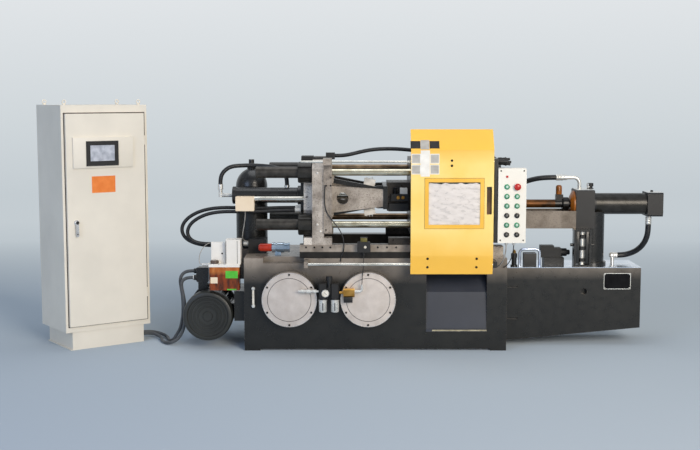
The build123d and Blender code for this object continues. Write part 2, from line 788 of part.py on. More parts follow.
def injection_base():
    """Tapered box with two lifting slots and a round hole in its front."""
    half = INJECTION_BASE_HALF_DEPTH
    outline = [
        (BED_RIGHT, INJECTION_BASE_BOTTOM_LEFT),
        (INJECTION_BASE_RIGHT, INJECTION_BASE_BOTTOM_RIGHT),
        (INJECTION_BASE_RIGHT, INJECTION_BASE_TOP),
        (BED_RIGHT, INJECTION_BASE_TOP),
    ]
    base = plate_xz(outline, -half, half)
    slot_x = BED_RIGHT + SLOT_INSET + SLOT_LENGTH / 2
    for drop in SLOT_DROPS:
        place = Pos(slot_x, -half, INJECTION_BASE_TOP - drop) * Rot(90, 0, 0)
        base -= extrude(place * SlotOverall(SLOT_LENGTH, SLOT_HEIGHT), amount=SLOT_DEPTH, both=True)
    hole_x = BED_RIGHT + BASE_HOLE_INSET
    hole_z = INJECTION_BASE_TOP - BASE_HOLE_DROP
    return base - rod_y(-half, -half + BASE_HOLE_DEPTH, hole_x, hole_z, BASE_HOLE_RADIUS)


def deck_sheet():
    half = INJECTION_BASE_HALF_DEPTH
    return block(BED_RIGHT, INJECTION_BASE_RIGHT, -half, half, INJECTION_BASE_TOP, DECK_TOP)


def tank_covers():
    back = -BED_HALF_DEPTH - NECK_LENGTH
    front = back - COVER_THICKNESS
    floor = front + COVER_GROOVE_DEPTH
    covers = []
    for x in COVER_X:
        cover = rod_y(front, back, x, COVER_Z, COVER_RADIUS)
        groove = rod_y(front, floor, x, COVER_Z, COVER_GROOVE_RADIUS + COVER_GROOVE_WIDTH)
        groove -= rod_y(front, floor, x, COVER_Z, COVER_GROOVE_RADIUS)
        covers.append(cover - groove)
    return loose(*covers)


def chute():
    """Folded sheet that slopes out of the bed under the guard, with a lip at its foot."""
    back = -BED_HALF_DEPTH + CHUTE_DEPTH
    front = -BED_HALF_DEPTH
    bend_y = front + CHUTE_BEND_SETBACK
    foot_y = front + CHUTE_FOOT_SETBACK
    outline = [
        (back - CHUTE_SHEET, CHUTE_TOP),
        (back, CHUTE_TOP),
        (bend_y + CHUTE_SHEET, CHUTE_BEND),
        (foot_y + CHUTE_SHEET, CHUTE_BOTTOM + CHUTE_LIP),
        (foot_y + CHUTE_SHEET, CHUTE_BOTTOM),
        (front - CHUTE_SHEET, CHUTE_BOTTOM),
        (front - CHUTE_SHEET, CHUTE_BOTTOM + CHUTE_LIP),
        (foot_y, CHUTE_BOTTOM + CHUTE_LIP),
        (bend_y, CHUTE_BEND),
    ]
    return plate_yz(outline, CHUTE_LEFT, CHUTE_RIGHT)


def level_gauge():
    """Gauge body with bevelled ends and a recess for its sight glass."""
    front = -BED_HALF_DEPTH - GAUGE_DEPTH
    half = GAUGE_WIDTH / 2
    top = GAUGE_BOTTOM + GAUGE_HEIGHT
    body = block(GAUGE_X - half, GAUGE_X + half, front, -BED_HALF_DEPTH, GAUGE_BOTTOM, top)
    body = chamfer(body.edges().filter_by(Axis.Y), GAUGE_CORNER)
    middle = (GAUGE_BOTTOM + top) / 2
    sight = Pos(GAUGE_X, front, middle) * Rot(90, 90, 0) * SlotOverall(SIGHT_HEIGHT, SIGHT_WIDTH)
    return body - extrude(sight, amount=SIGHT_DEPTH, both=True)


def bed_ways():
    front = -BED_HALF_DEPTH
    way = block(WAY_LEFT, WAY_RIGHT, front, front + WAY_WIDTH, BED_TOP, WAY_TOP)
    return both_sides(way)


def side_brackets():
    """Brackets on the left end of the bed for accumulator, pump motor and lubricator."""
    shelf_left = BED_LEFT - SHELF_REACH
    shelf_bottom = BED_TOP - SHELF_THICKNESS
    y0 = ACCUMULATOR_Y - SHELF_HALF_WIDTH
    y1 = ACCUMULATOR_Y + SHELF_HALF_WIDTH
    shelf = block(shelf_left, BED_LEFT, y0, y1, shelf_bottom, BED_TOP)
    gusset = [
        (BED_LEFT, shelf_bottom - SHELF_GUSSET_DROP),
        (BED_LEFT, shelf_bottom),
        (shelf_left + SHELF_GUSSET_THICKNESS, shelf_bottom),
    ]
    shelf += plate_xz(gusset, y0, y0 + SHELF_GUSSET_THICKNESS)
    shelf += plate_xz(gusset, y1 - SHELF_GUSSET_THICKNESS, y1)
    motor_side = MOTOR_X + MOTOR_PAD_REACH
    motor_bracket = block(motor_side, BED_LEFT, BRACKET_FRONT, BRACKET_REAR, BRACKET_BOTTOM, BRACKET_TOP)
    plate_bottom = LUBE_FLANGE_BOTTOM - LUBE_PLATE_DROP
    plate_back = LUBE_BACK + LUBE_PLATE
    lube_bracket = block(LUBE_LEFT, BED_LEFT, LUBE_BACK, plate_back, plate_bottom, LUBE_FLANGE_TOP)
    return loose(shelf, motor_bracket, lube_bracket)


# Clamping unit


def platen(x0, x1, bottom, top):
    """An upright plate with bevelled corners and bores for the four tie bars."""
    half = PLATEN_HALF_WIDTH
    cut = PLATEN_CHAMFER
    outline = [
        (-half, bottom),
        (half, bottom),
        (half, top - cut),
        (half - cut, top),
        (-half + cut, top),
        (-half, top - cut),
    ]
    plate = plate_yz(outline, x0, x1)
    for y, z in tie_positions():
        plate -= rod_x(x0, x1, y, z, TIE_BAR_RADIUS + BORE_CLEAR)
    return plate


def slide_shoe(x0, x1, top):
    front = -BED_HALF_DEPTH
    return block(x0, x1, front + SLIDE_SETBACK, front + WAY_WIDTH, WAY_TOP, top)


def link_pins():
    """Side, level and the two pin centres of each toggle link, as (X, Z) pairs."""
    for side in (-1, 1):
        for level in (-1, 1):
            tail = (TAIL_RIGHT + TAIL_PIN_REACH, CLAMP_Z + level * TAIL_PIN_RISE)
            cross = (CHEEK_RIGHT - CROSS_PIN_INSET, CLAMP_Z + level * CROSS_PIN_RISE)
            yield side, level, tail, cross


def ear_spans(side):
    """The Y spans of the two ears that hold a link between them."""
    spans = []
    for near in (LINK_INNER - BORE_CLEAR - EAR_THICKNESS, LINK_OUTER + BORE_CLEAR):
        ends = sorted((side * near, side * (near + EAR_THICKNESS)))
        spans.append(tuple(ends))
    return spans


def ear(root_x, x, z, y0, y1):
    """A lug with a round end, from a wall at root_x to a pin."""
    lug = rod_y(y0, y1, x, z, EAR_RADIUS)
    x0, x1 = sorted((root_x, x))
    return lug + block(x0, x1, y0, y1, z - EAR_RADIUS, z + EAR_RADIUS)


def tail_platen():
    """Tail platen with its cylinder body, slide shoes and the ears of the toggle links."""
    plate = platen(TAIL_LEFT, TAIL_RIGHT, SLIDE_TOP, PLATEN_TOP)
    half = TAIL_BODY_HALF_WIDTH
    low = CLAMP_Z - TAIL_BODY_HALF_HEIGHT
    high = CLAMP_Z + TAIL_BODY_HALF_HEIGHT
    body = block(TAIL_BODY_LEFT, TAIL_LEFT, -half, half, low, high)
    plate += chamfer(body.edges().filter_by(Axis.X), TAIL_BODY_CORNER)
    shoe = slide_shoe(SLIDE_LEFT, SLIDE_RIGHT, SLIDE_TOP)
    plate += shoe
    plate += mirror(shoe, about=Plane.XZ)
    for side, level, (x, z), cross in link_pins():
        for y0, y1 in ear_spans(side):
            plate += ear(TAIL_RIGHT, x, z, y0, y1) - rod_y(y0, y1, x, z, PIN_RADIUS + BORE_CLEAR)
    plate -= rod_x(TAIL_BODY_LEFT, TAIL_RIGHT, 0, CLAMP_Z, CLAMP_ROD_RADIUS + BORE_CLEAR)
    return plate


def sleeve_left(y):
    """The far sleeves end short of the accumulator."""
    length = TIE_SLEEVE_LENGTH if y < 0 else REAR_SLEEVE_LENGTH
    return TAIL_LEFT - TIE_NUT_LENGTH - length


def tie_bars():
    right = FIXED_RIGHT + TIE_END_NUT_LENGTH + TIE_BAR_END
    bars = []
    for y, z in tie_positions():
        left = sleeve_left(y) + SLEEVE_END + BORE_CLEAR
        bars.append(rod_x(left, right, y, z, TIE_BAR_RADIUS))
    return loose(*bars)


def slotted_nut(length, radius):
    """A round nut with bevelled rims and spanner slots round it, along Z."""
    rim = TIE_NUT_CHAMFER
    nut = turned([(0, radius - rim), (rim, radius), (length - rim, radius), (length, radius - rim)])
    for slot in range(NUT_SLOTS):
        turn = Rot(0, 0, 360 * slot / NUT_SLOTS)
        nut -= turn * Pos(radius, 0, length / 2) * Box(2 * NUT_SLOT_DEPTH, NUT_SLOT_WIDTH, length)
    return nut


def tie_bar_nuts():
    """Adjusting nuts with cover sleeves at the tail platen, plain nuts at the fixed platen."""
    nuts = []
    nut_left = TAIL_LEFT - TIE_NUT_LENGTH
    bore = TIE_BAR_RADIUS + BORE_CLEAR
    for y, z in tie_positions():
        left = sleeve_left(y)
        sleeve = turned([
            (0, TIE_SLEEVE_RADIUS - SLEEVE_CHAMFER),
            (SLEEVE_CHAMFER, TIE_SLEEVE_RADIUS),
            (nut_left - left, TIE_SLEEVE_RADIUS),
        ])
        nut = along_x(nut_left, y, z) * slotted_nut(TIE_NUT_LENGTH, TIE_NUT_RADIUS)
        nut += along_x(left, y, z) * sleeve
        nuts.append(nut - rod_x(left + SLEEVE_END, TAIL_LEFT, y, z, bore))
        end_nut = along_x(FIXED_RIGHT, y, z) * slotted_nut(TIE_END_NUT_LENGTH, TIE_END_NUT_RADIUS)
        nuts.append(end_nut - rod_x(FIXED_RIGHT, FIXED_RIGHT + TIE_END_NUT_LENGTH, y, z, bore))
    return loose(*nuts)


def clamp_cylinder():
    """Cylinder tube with a bevelled cap, a collar and a square flange on the tail platen's body."""
    half = CLAMP_FLANGE_HALF
    bevel = CLAMP_CAP_CHAMFER
    cap = CLAMP_CAP_LENGTH
    collar = cap + CLAMP_CYLINDER_LENGTH - CLAMP_COLLAR_LENGTH
    profile = [
        (0, CLAMP_CAP_RADIUS - bevel),
        (bevel, CLAMP_CAP_RADIUS),
        (cap, CLAMP_CAP_RADIUS),
        (cap, CLAMP_CYLINDER_RADIUS),
        (collar, CLAMP_CYLINDER_RADIUS),
        (collar + bevel, CLAMP_COLLAR_RADIUS),
        (cap + CLAMP_CYLINDER_LENGTH, CLAMP_COLLAR_RADIUS),
    ]
    cylinder = along_x(CLAMP_CYLINDER_LEFT - cap, 0, CLAMP_Z) * turned(profile)
    flange = block(CLAMP_FLANGE_LEFT, TAIL_BODY_LEFT, -half, half, CLAMP_Z - half, CLAMP_Z + half)
    return cylinder + rounded(flange, Axis.X, CLAMP_FLANGE_CORNER)


def toggle_cheeks():
    outline = [
        (TAIL_RIGHT, CLAMP_Z - CHEEK_BOTTOM_LEFT),
        (CHEEK_RIGHT, CLAMP_Z - CHEEK_BOTTOM_RIGHT),
        (CHEEK_RIGHT, CLAMP_Z + CHEEK_TOP_RIGHT),
        (TAIL_RIGHT, CLAMP_Z + CHEEK_TOP_LEFT),
    ]
    front = -CHEEK_FRONT
    back = front + CHEEK_THICKNESS
    cheek = plate_xz(outline, front, back)
    hole_x = TAIL_RIGHT + CHEEK_HOLE_INSET
    cheek -= rod_y(front, back, hole_x, CLAMP_Z - CHEEK_HOLE_DROP, CHEEK_HOLE_RADIUS)
    return both_sides(cheek)


def toggle_link(tail, cross, y0, y1):
    """A waisted link between two round eyes, bored for its pins."""
    run = Vector(cross[0] - tail[0], cross[1] - tail[1])
    turn = math.degrees(math.atan2(run.Y, run.X))
    eyes = [Pos(0, 0) * Circle(LINK_RADIUS), Pos(run.length, 0) * Circle(LINK_RADIUS)]
    shank = Pos(run.length / 2, 0) * Rectangle(run.length, 2 * LINK_WAIST)
    outline = eyes[0] + eyes[1] + shank
    for end in (0, run.length):
        outline -= Pos(end, 0) * Circle(PIN_RADIUS + BORE_CLEAR)
    link = extrude(outline, amount=y1 - y0)
    return Pos(tail[0], y1, tail[1]) * Rot(90, 0, 0) * Rot(0, 0, turn) * link


def link_pin(x, z, side):
    """A pin through both ears and the link between them, with its head on the inner side."""
    margin = BORE_CLEAR + EAR_THICKNESS
    inner = LINK_INNER - margin
    reach = LINK_OUTER + margin - inner
    pin = turned([
        (-PIN_HEAD, PIN_HEAD_RADIUS),
        (0, PIN_HEAD_RADIUS),
        (0, PIN_RADIUS),
        (reach, PIN_RADIUS),
    ])
    start = Pos(x, -inner, z) * Rot(90, 0, 0) * pin
    return start if side < 0 else mirror(start, about=Plane.XZ)


def toggle_links():
    """Crosshead with its lugs, and four links on pins between it and the tail platen."""
    half = CROSS_PLATE_HALF_HEIGHT
    reach = CHEEK_FRONT + CROSS_PLATE_OVERHANG
    crosshead = block(CHEEK_RIGHT, CROSS_PLATE_RIGHT, -reach, reach, CLAMP_Z - half, CLAMP_Z + half)
    pieces = []
    for side, level, tail, cross in link_pins():
        for y0, y1 in ear_spans(side):
            crosshead += ear(CHEEK_RIGHT, *cross, y0, y1)
        y0, y1 = sorted((side * LINK_INNER, side * LINK_OUTER))
        crosshead += rod_y(y0 - 1, y1 + 1, *cross, PIN_RADIUS)
        pieces.append(toggle_link(tail, cross, y0, y1))
        pieces.append(link_pin(*tail, side))
    return loose(crosshead, *pieces)


def moving_platen():
    plate = platen(MOVING_LEFT, MOVING_RIGHT, SLIDE_TOP, PLATEN_TOP)
    wide = BOSS_HALF_WIDTH
    high = BOSS_HALF_HEIGHT
    plate += block(CROSS_PLATE_RIGHT, MOVING_LEFT, -wide, wide, CLAMP_Z - high, CLAMP_Z + high)
    shoe = slide_shoe(MOVING_LEFT - MOVING_SHOE_REACH, MOVING_RIGHT, SLIDE_TOP)
    plate += shoe
    plate += mirror(shoe, about=Plane.XZ)
    return plate


def fixed_platen():
    plate = platen(FIXED_LEFT, FIXED_RIGHT, BED_TOP, PLATEN_TOP)
    return plate - rod_x(FIXED_LEFT, FIXED_RIGHT, 0, SHOT_Z, SLEEVE_RADIUS + BORE_CLEAR)


# Guard


def guard_outline(inset):
    """Front face of the bent guard sheet in Y and Z, moved back by inset."""
    return [
        (GUARD_BOTTOM_FACE + inset, GUARD_BOTTOM),
        (GUARD_FACE + inset, GUARD_LOWER_BEND),
        (GUARD_FACE + inset, GUARD_UPPER_BEND),
        (GUARD_TOP_FACE + inset, GUARD_TOP),
    ]


def guard_sheet():
    outline = guard_outline(0) + guard_outline(GUARD_SHEET)[::-1]
    return plate_yz(outline, GUARD_LEFT, GUARD_RIGHT)


def guard_back(z):
    """Y of the sheet's back face at a height."""
    share = min(1, (z - GUARD_BOTTOM) / (GUARD_LOWER_BEND - GUARD_BOTTOM))
    return GUARD_BOTTOM_FACE + share * (GUARD_FACE - GUARD_BOTTOM_FACE) + GUARD_SHEET


def guard_bushes(z, radius):
    """Two blocks behind the sheet that slide on a guide rod."""
    low = z - HANGER_HALF
    high = z + HANGER_HALF
    back = GUARD_ROD_Y + HANGER_HALF
    outline = [(guard_back(low) - 1, low), (back, low), (back, high), (guard_back(high) - 1, high)]
    bushes = []
    for x in (GUARD_LEFT + HANGER_INSET, GUARD_RIGHT - HANGER_INSET - HANGER_WIDTH):
        bush = plate_yz(outline, x, x + HANGER_WIDTH)
        bushes.append(bush - rod_x(x, x + HANGER_WIDTH, GUARD_ROD_Y, z, radius + GUIDE_CLEAR))
    return bushes


def guard_door():
    door = guard_sheet()
    frame_front = GUARD_FACE - WINDOW_FRAME_RISE
    back = GUARD_FACE + GUARD_SHEET
    door += block(
        WINDOW_LEFT - WINDOW_FRAME, WINDOW_RIGHT + WINDOW_FRAME, frame_front, GUARD_FACE,
        WINDOW_BOTTOM - WINDOW_FRAME, WINDOW_TOP + WINDOW_FRAME,
    )
    door -= block(WINDOW_LEFT, WINDOW_RIGHT, frame_front, back, WINDOW_BOTTOM, WINDOW_TOP)
    door -= block(HANDLE_LEFT, HANDLE_RIGHT, GUARD_FACE, back, HANDLE_BOTTOM, HANDLE_TOP)
    for bush in guard_bushes(UPPER_ROD_Z, UPPER_ROD_RADIUS) + guard_bushes(LOWER_ROD_Z, LOWER_ROD_RADIUS):
        door += bush
    return door


def guard_window():
    back = GUARD_FACE + GUARD_SHEET
    rim = WINDOW_OVERLAP
    return block(
        WINDOW_LEFT - rim, WINDOW_RIGHT + rim, back, back + WINDOW_PANE,
        WINDOW_BOTTOM - rim, WINDOW_TOP + rim,
    )


def guard_handle():
    """Recessed finger pull behind the slot in the guard."""
    back = GUARD_FACE + GUARD_SHEET
    rim = HANDLE_CUP_RIM
    floor = back + HANDLE_CUP_DEPTH
    cup = block(
        HANDLE_LEFT - rim, HANDLE_RIGHT + rim, back, floor + HANDLE_CUP_WALL,
        HANDLE_BOTTOM - rim, HANDLE_TOP + rim,
    )
    return cup - block(HANDLE_LEFT, HANDLE_RIGHT, back, floor, HANDLE_BOTTOM, HANDLE_TOP)


def guide_rods():
    """Guard rods, the clamp cylinder's piston rod and the steady bar beside the cylinder."""
    right = FIXED_RIGHT + POST_THICKNESS
    upper = rod_x(UPPER_ROD_LEFT, right, GUARD_ROD_Y, UPPER_ROD_Z, UPPER_ROD_RADIUS)
    lower = rod_x(LOWER_ROD_LEFT, right, GUARD_ROD_Y, LOWER_ROD_Z, LOWER_ROD_RADIUS)
    piston = rod_x(TAIL_BODY_LEFT, CHEEK_RIGHT, 0, CLAMP_Z, CLAMP_ROD_RADIUS)
    steady_z = CLAMP_Z - STEADY_BAR_DROP
    steady = rod_x(JUNCTION_RIGHT, TAIL_BODY_LEFT, STEADY_BAR_Y, steady_z, STEADY_BAR_RADIUS)
    return loose(upper, lower, piston, steady)


def rod_eye(x0, x1, back, z, radius):
    """A bored arm that carries a guide rod in front of the machine."""
    arm = block(x0, x1, GUARD_ROD_Y - ROD_EYE_HALF, back, z - ROD_EYE_HALF, z + ROD_EYE_HALF)
    return arm - rod_x(x0, x1, GUARD_ROD_Y, z, radius + BORE_CLEAR)


def rod_brackets():
    """Strip with an arm at the tail platen, two arms on the bed and the post at the fixed platen."""
    front = -PLATEN_HALF_WIDTH
    strip_left = TAIL_RIGHT - STRIP_OVERLAP
    strip_right = strip_left + STRIP_WIDTH
    face = front - STRIP_THICKNESS
    shoulder = PLATEN_TOP - PLATEN_CHAMFER
    strip = block(TAIL_RIGHT, strip_right, face, front, STRIP_BOTTOM, UPPER_ROD_Z - ROD_EYE_HALF)
    strip += block(strip_left, TAIL_RIGHT, face, front, STRIP_BOTTOM, shoulder)
    strip += rod_eye(strip_left, strip_right, front, UPPER_ROD_Z, UPPER_ROD_RADIUS)
    bed_front = -BED_HALF_DEPTH
    left_end = LOWER_ROD_LEFT + ROD_BRACKET_WIDTH
    low_left = rod_eye(LOWER_ROD_LEFT, left_end, bed_front, LOWER_ROD_Z, LOWER_ROD_RADIUS)
    right = FIXED_RIGHT + POST_THICKNESS
    low_right = rod_eye(FIXED_RIGHT, right, bed_front, LOWER_ROD_Z, LOWER_ROD_RADIUS)
    return loose(strip, low_left, low_right, right_post())


def right_post():
    """Upright on the fixed platen that carries the upper rod and the button box."""
    x0 = FIXED_RIGHT
    x1 = FIXED_RIGHT + POST_THICKNESS
    y0 = GUARD_ROD_Y - ROD_EYE_HALF
    y1 = -PLATEN_HALF_WIDTH + SLIDE_SETBACK
    post = block(x0, x1, y0, y1, BUTTON_BOX_BOTTOM, UPPER_ROD_Z + ROD_EYE_HALF)
    return post - rod_x(x0, x1, GUARD_ROD_Y, UPPER_ROD_Z, UPPER_ROD_RADIUS + BORE_CLEAR)


def button_box():
    back = GUARD_FACE + BUTTON_BOX_DEPTH
    body = block(BUTTON_BOX_LEFT, BUTTON_BOX_RIGHT, GUARD_FACE, back, BUTTON_BOX_BOTTOM, BUTTON_BOX_TOP)
    return rounded(body, Axis.Y, BUTTON_BOX_CORNER)


def push_buttons():
    """Two columns of buttons with the stop mushroom at the top right, and a lamp above."""
    front = GUARD_FACE
    left = BUTTON_BOX_LEFT + BUTTON_INSET
    ring = [(0, BUTTON_RADIUS), (BUTTON_HEIGHT, BUTTON_RADIUS)]
    cap = ring + [(BUTTON_HEIGHT, BUTTON_CAP_RADIUS), (BUTTON_CAP_HEIGHT, BUTTON_CAP_RADIUS)]
    stem = STOP_HEIGHT - STOP_HEAD
    stop = ring + [
        (BUTTON_HEIGHT, BUTTON_CAP_RADIUS),
        (stem, BUTTON_CAP_RADIUS),
        (stem, STOP_RADIUS),
        (STOP_HEIGHT - STOP_HEAD / 2, STOP_RADIUS),
        (STOP_HEIGHT, BUTTON_CAP_RADIUS),
    ]
    buttons = []
    for column in range(2):
        for row in range(BUTTON_ROWS):
            is_stop = column == 1 and row == 0
            place = towards_front(
                left + column * BUTTON_SPACING, front, BUTTON_BOX_TOP - BUTTON_DROP - row * BUTTON_PITCH
            )
            buttons.append(place * turned(stop if is_stop else cap))
    buttons.append(rod_y(front - LAMP_HEIGHT, front, left, BUTTON_BOX_TOP - LAMP_DROP, LAMP_RADIUS))
    return loose(*buttons)


def rear_guard():
    """Fixed sheet on the far side, bolted to the bed and to the fixed platen."""
    sheet = mirror(guard_sheet(), about=Plane.XZ)
    right = FIXED_LEFT + REAR_FOOT_INSET
    left = GUARD_LEFT + REAR_FOOT_INSET
    upper_reach = -GUARD_FACE - GUARD_SHEET
    lower_reach = -GUARD_BOTTOM_FACE
    sheet += block(
        right, right + REAR_FOOT_WIDTH, PLATEN_HALF_WIDTH, upper_reach, REAR_TIE_BOTTOM, REAR_TIE_TOP
    )
    for x in (left, right):
        sheet += block(x, x + REAR_FOOT_WIDTH, BED_HALF_DEPTH, lower_reach, REAR_FOOT_BOTTOM, REAR_FOOT_TOP)
    return sheet


# Accumulator, motor, lubricator and small units


def accumulator():
    """Bottle with a rounded foot, a domed shoulder, a collar and its gas valve."""
    r = ACCUMULATOR_RADIUS
    valve = ACCUMULATOR_VALVE_RADIUS
    foot = r - ACCUMULATOR_FOOT_INSET
    x = ACCUMULATOR_X
    y = ACCUMULATOR_Y
    collar = ACCUMULATOR_COLLAR_RADIUS
    collar_top = ACCUMULATOR_TOP + ACCUMULATOR_COLLAR_HEIGHT
    valve_top = ACCUMULATOR_TOP + ACCUMULATOR_VALVE_HEIGHT
    shoulder = (x + r, y, ACCUMULATOR_SHOULDER)
    crown = (x + collar, y, ACCUMULATOR_TOP)
    middle = (x + r * 0.78, y, ACCUMULATOR_SHOULDER + ACCUMULATOR_DOME * 0.66)
    outline = Polyline(
        (x, y, valve_top), (x, y, BED_TOP), (x + foot, y, BED_TOP),
        (x + r, y, BED_TOP + ACCUMULATOR_FOOT_HEIGHT), shoulder,
    )
    outline += ThreePointArc(shoulder, middle, crown)
    outline += Polyline(
        crown, (x + collar, y, collar_top), (x + valve, y, collar_top), (x + valve, y, valve_top),
        (x, y, valve_top),
    )
    return revolve(make_face(outline), axis=Axis((x, y, 0), (0, 0, 1)))


def motor():
    """Finned motor body, flange, bell housing and pump in one line, with its side pad."""
    cowl_back = COWL_FRONT + COWL_LENGTH
    frame_length = MOTOR_REAR - cowl_back
    profile = [
        (0, MOTOR_CORE_RADIUS),
        (frame_length, MOTOR_CORE_RADIUS),
        (frame_length, MOTOR_FLANGE_RADIUS),
        (frame_length + MOTOR_FLANGE_LENGTH, MOTOR_FLANGE_RADIUS),
        (frame_length + MOTOR_FLANGE_LENGTH, BELL_RADIUS),
        (frame_length + MOTOR_FLANGE_LENGTH + BELL_LENGTH, BELL_RADIUS),
        (frame_length + MOTOR_FLANGE_LENGTH + BELL_LENGTH, PUMP_RADIUS),
        (frame_length + MOTOR_FLANGE_LENGTH + BELL_LENGTH + PUMP_LENGTH, PUMP_RADIUS),
    ]
    line = turned(profile)
    fin_height = MOTOR_RADIUS - MOTOR_CORE_RADIUS + 2
    fin_middle = MOTOR_RADIUS - fin_height / 2
    one_fin = Pos(fin_middle, 0, frame_length / 2) * Box(fin_height, MOTOR_FIN_THICKNESS, frame_length)
    for fin in range(MOTOR_FINS):
        line += Rot(0, 0, 360 * (fin + 0.5) / MOTOR_FINS) * one_fin
    body = Pos(MOTOR_X, cowl_back, MOTOR_Z) * Rot(-90, 0, 0) * line
    pad_top = BRACKET_BOTTOM + MOTOR_PAD_HEIGHT
    pad_left = MOTOR_X + MOTOR_PAD_REACH - MOTOR_PAD_INSET
    body += block(
        pad_left, MOTOR_X + MOTOR_PAD_REACH, MOTOR_PAD_FRONT, MOTOR_PAD_REAR, BRACKET_BOTTOM, pad_top
    )
    inset = TERMINAL_RISER_INSET
    body += block(
        TERMINAL_LEFT + inset, TERMINAL_RIGHT - inset, TERMINAL_FRONT + inset, TERMINAL_REAR - inset,
        MOTOR_Z + BELL_RADIUS / 2, TERMINAL_BOTTOM,
    )
    return body


def motor_cowl():
    """Pressed fan cowl with a bevelled rim and upright slots pressed half into its face."""
    back = COWL_LENGTH
    wall = COWL_WALL
    bevel = COWL_BEVEL
    inner = COWL_RADIUS - wall
    shell = turned([(0, COWL_RADIUS), (back - bevel, COWL_RADIUS), (back, COWL_RADIUS - bevel)])
    shell -= turned([(2 * wall, inner), (back - wall, inner)])
    shell -= Cylinder(MOTOR_CORE_RADIUS - COWL_LIP, 6 * wall)
    floor = back - wall / 2
    for slot in range(GRILLE_SLOTS):
        offset = (slot - (GRILLE_SLOTS - 1) / 2) * GRILLE_PITCH
        length = 2 * math.sqrt(GRILLE_RADIUS**2 - offset**2)
        outline = Pos(offset, 0, floor) * Rot(0, 0, 90) * SlotOverall(length, GRILLE_SLOT_WIDTH)
        shell -= extrude(outline, amount=wall)
    return towards_front(MOTOR_X, COWL_FRONT + COWL_LENGTH, MOTOR_Z) * shell


def terminal_box():
    """Terminal box with rounded corners, a lid and two cable glands."""
    box = block(
        TERMINAL_LEFT, TERMINAL_RIGHT, TERMINAL_FRONT + TERMINAL_LID, TERMINAL_REAR,
        TERMINAL_BOTTOM, TERMINAL_TOP,
    )
    box = rounded(box, Axis.Y, TERMINAL_CORNER)
    lip = TERMINAL_LID / 3
    lid = block(
        TERMINAL_LEFT - lip, TERMINAL_RIGHT + lip, TERMINAL_FRONT, TERMINAL_FRONT + TERMINAL_LID,
        TERMINAL_BOTTOM, TERMINAL_TOP + lip,
    )
    box += rounded(lid, Axis.Y, TERMINAL_CORNER)
    for y, z in GLAND_PLACES:
        gland = turned([
            (0, GLAND_NUT_RADIUS),
            (GLAND_NUT_LENGTH, GLAND_NUT_RADIUS),
            (GLAND_NUT_LENGTH, GLAND_RADIUS),
            (GLAND_LENGTH, GLAND_RADIUS),
        ])
        box += Pos(TERMINAL_LEFT, y, z) * Rot(0, -90, 0) * gland
    return box


def lubricator():
    """Flange with the pump box, the taller motor box, the filler cap and the outlet."""
    top = LUBE_FLANGE_TOP
    flange = block(LUBE_LEFT, LUBE_RIGHT, LUBE_FRONT, LUBE_BACK, LUBE_FLANGE_BOTTOM, top)
    body = rounded(flange, Axis.Z, LUBE_FLANGE_CORNER)
    pump_left = LUBE_LEFT + LUBE_PUMP_INSET
    pump_back = LUBE_BACK - 2 * LUBE_TANK_INSET
    pump = block(
        pump_left, pump_left + LUBE_PUMP_WIDTH, pump_back - LUBE_PUMP_DEPTH, pump_back,
        top, top + LUBE_PUMP_HEIGHT,
    )
    body += rounded(pump, Axis.Z, LUBE_BOX_CORNER)
    motor_right = LUBE_RIGHT + LUBE_MOTOR_OVERHANG
    motor_front = LUBE_FRONT + LUBE_MOTOR_OVERHANG
    motor_back = LUBE_BACK - LUBE_TANK_INSET
    motor_box = block(
        motor_right - LUBE_MOTOR_WIDTH, motor_right, motor_front, motor_back, top, top + LUBE_MOTOR_HEIGHT
    )
    body += rounded(motor_box, Axis.Z, LUBE_BOX_CORNER)
    rim = LUBE_BOX_CORNER
    cap = turned([
        (0, LUBE_CAP_RADIUS),
        (LUBE_CAP_HEIGHT - rim, LUBE_CAP_RADIUS),
        (LUBE_CAP_HEIGHT, LUBE_CAP_RADIUS - rim),
    ])
    body += Pos(LUBE_LEFT + LUBE_CAP_INSET, LUBE_FRONT + LUBE_CAP_RADIUS + LUBE_CAP_SETBACK, top) * cap
    outlet_z = (LUBE_FLANGE_BOTTOM + top) / 2
    middle = (LUBE_FRONT + LUBE_BACK) / 2
    body += rod_x(LUBE_LEFT - LUBE_OUTLET_LENGTH, LUBE_LEFT, middle, outlet_z, LUBE_OUTLET_RADIUS)
    return body


def lubricator_tank():
    inset = LUBE_TANK_INSET
    tank = block(
        LUBE_LEFT + inset, LUBE_RIGHT - inset, LUBE_FRONT + inset, LUBE_BACK - inset,
        LUBE_TANK_BOTTOM, LUBE_FLANGE_BOTTOM,
    )
    return rounded(tank, Axis.Z, LUBE_TANK_CORNER)


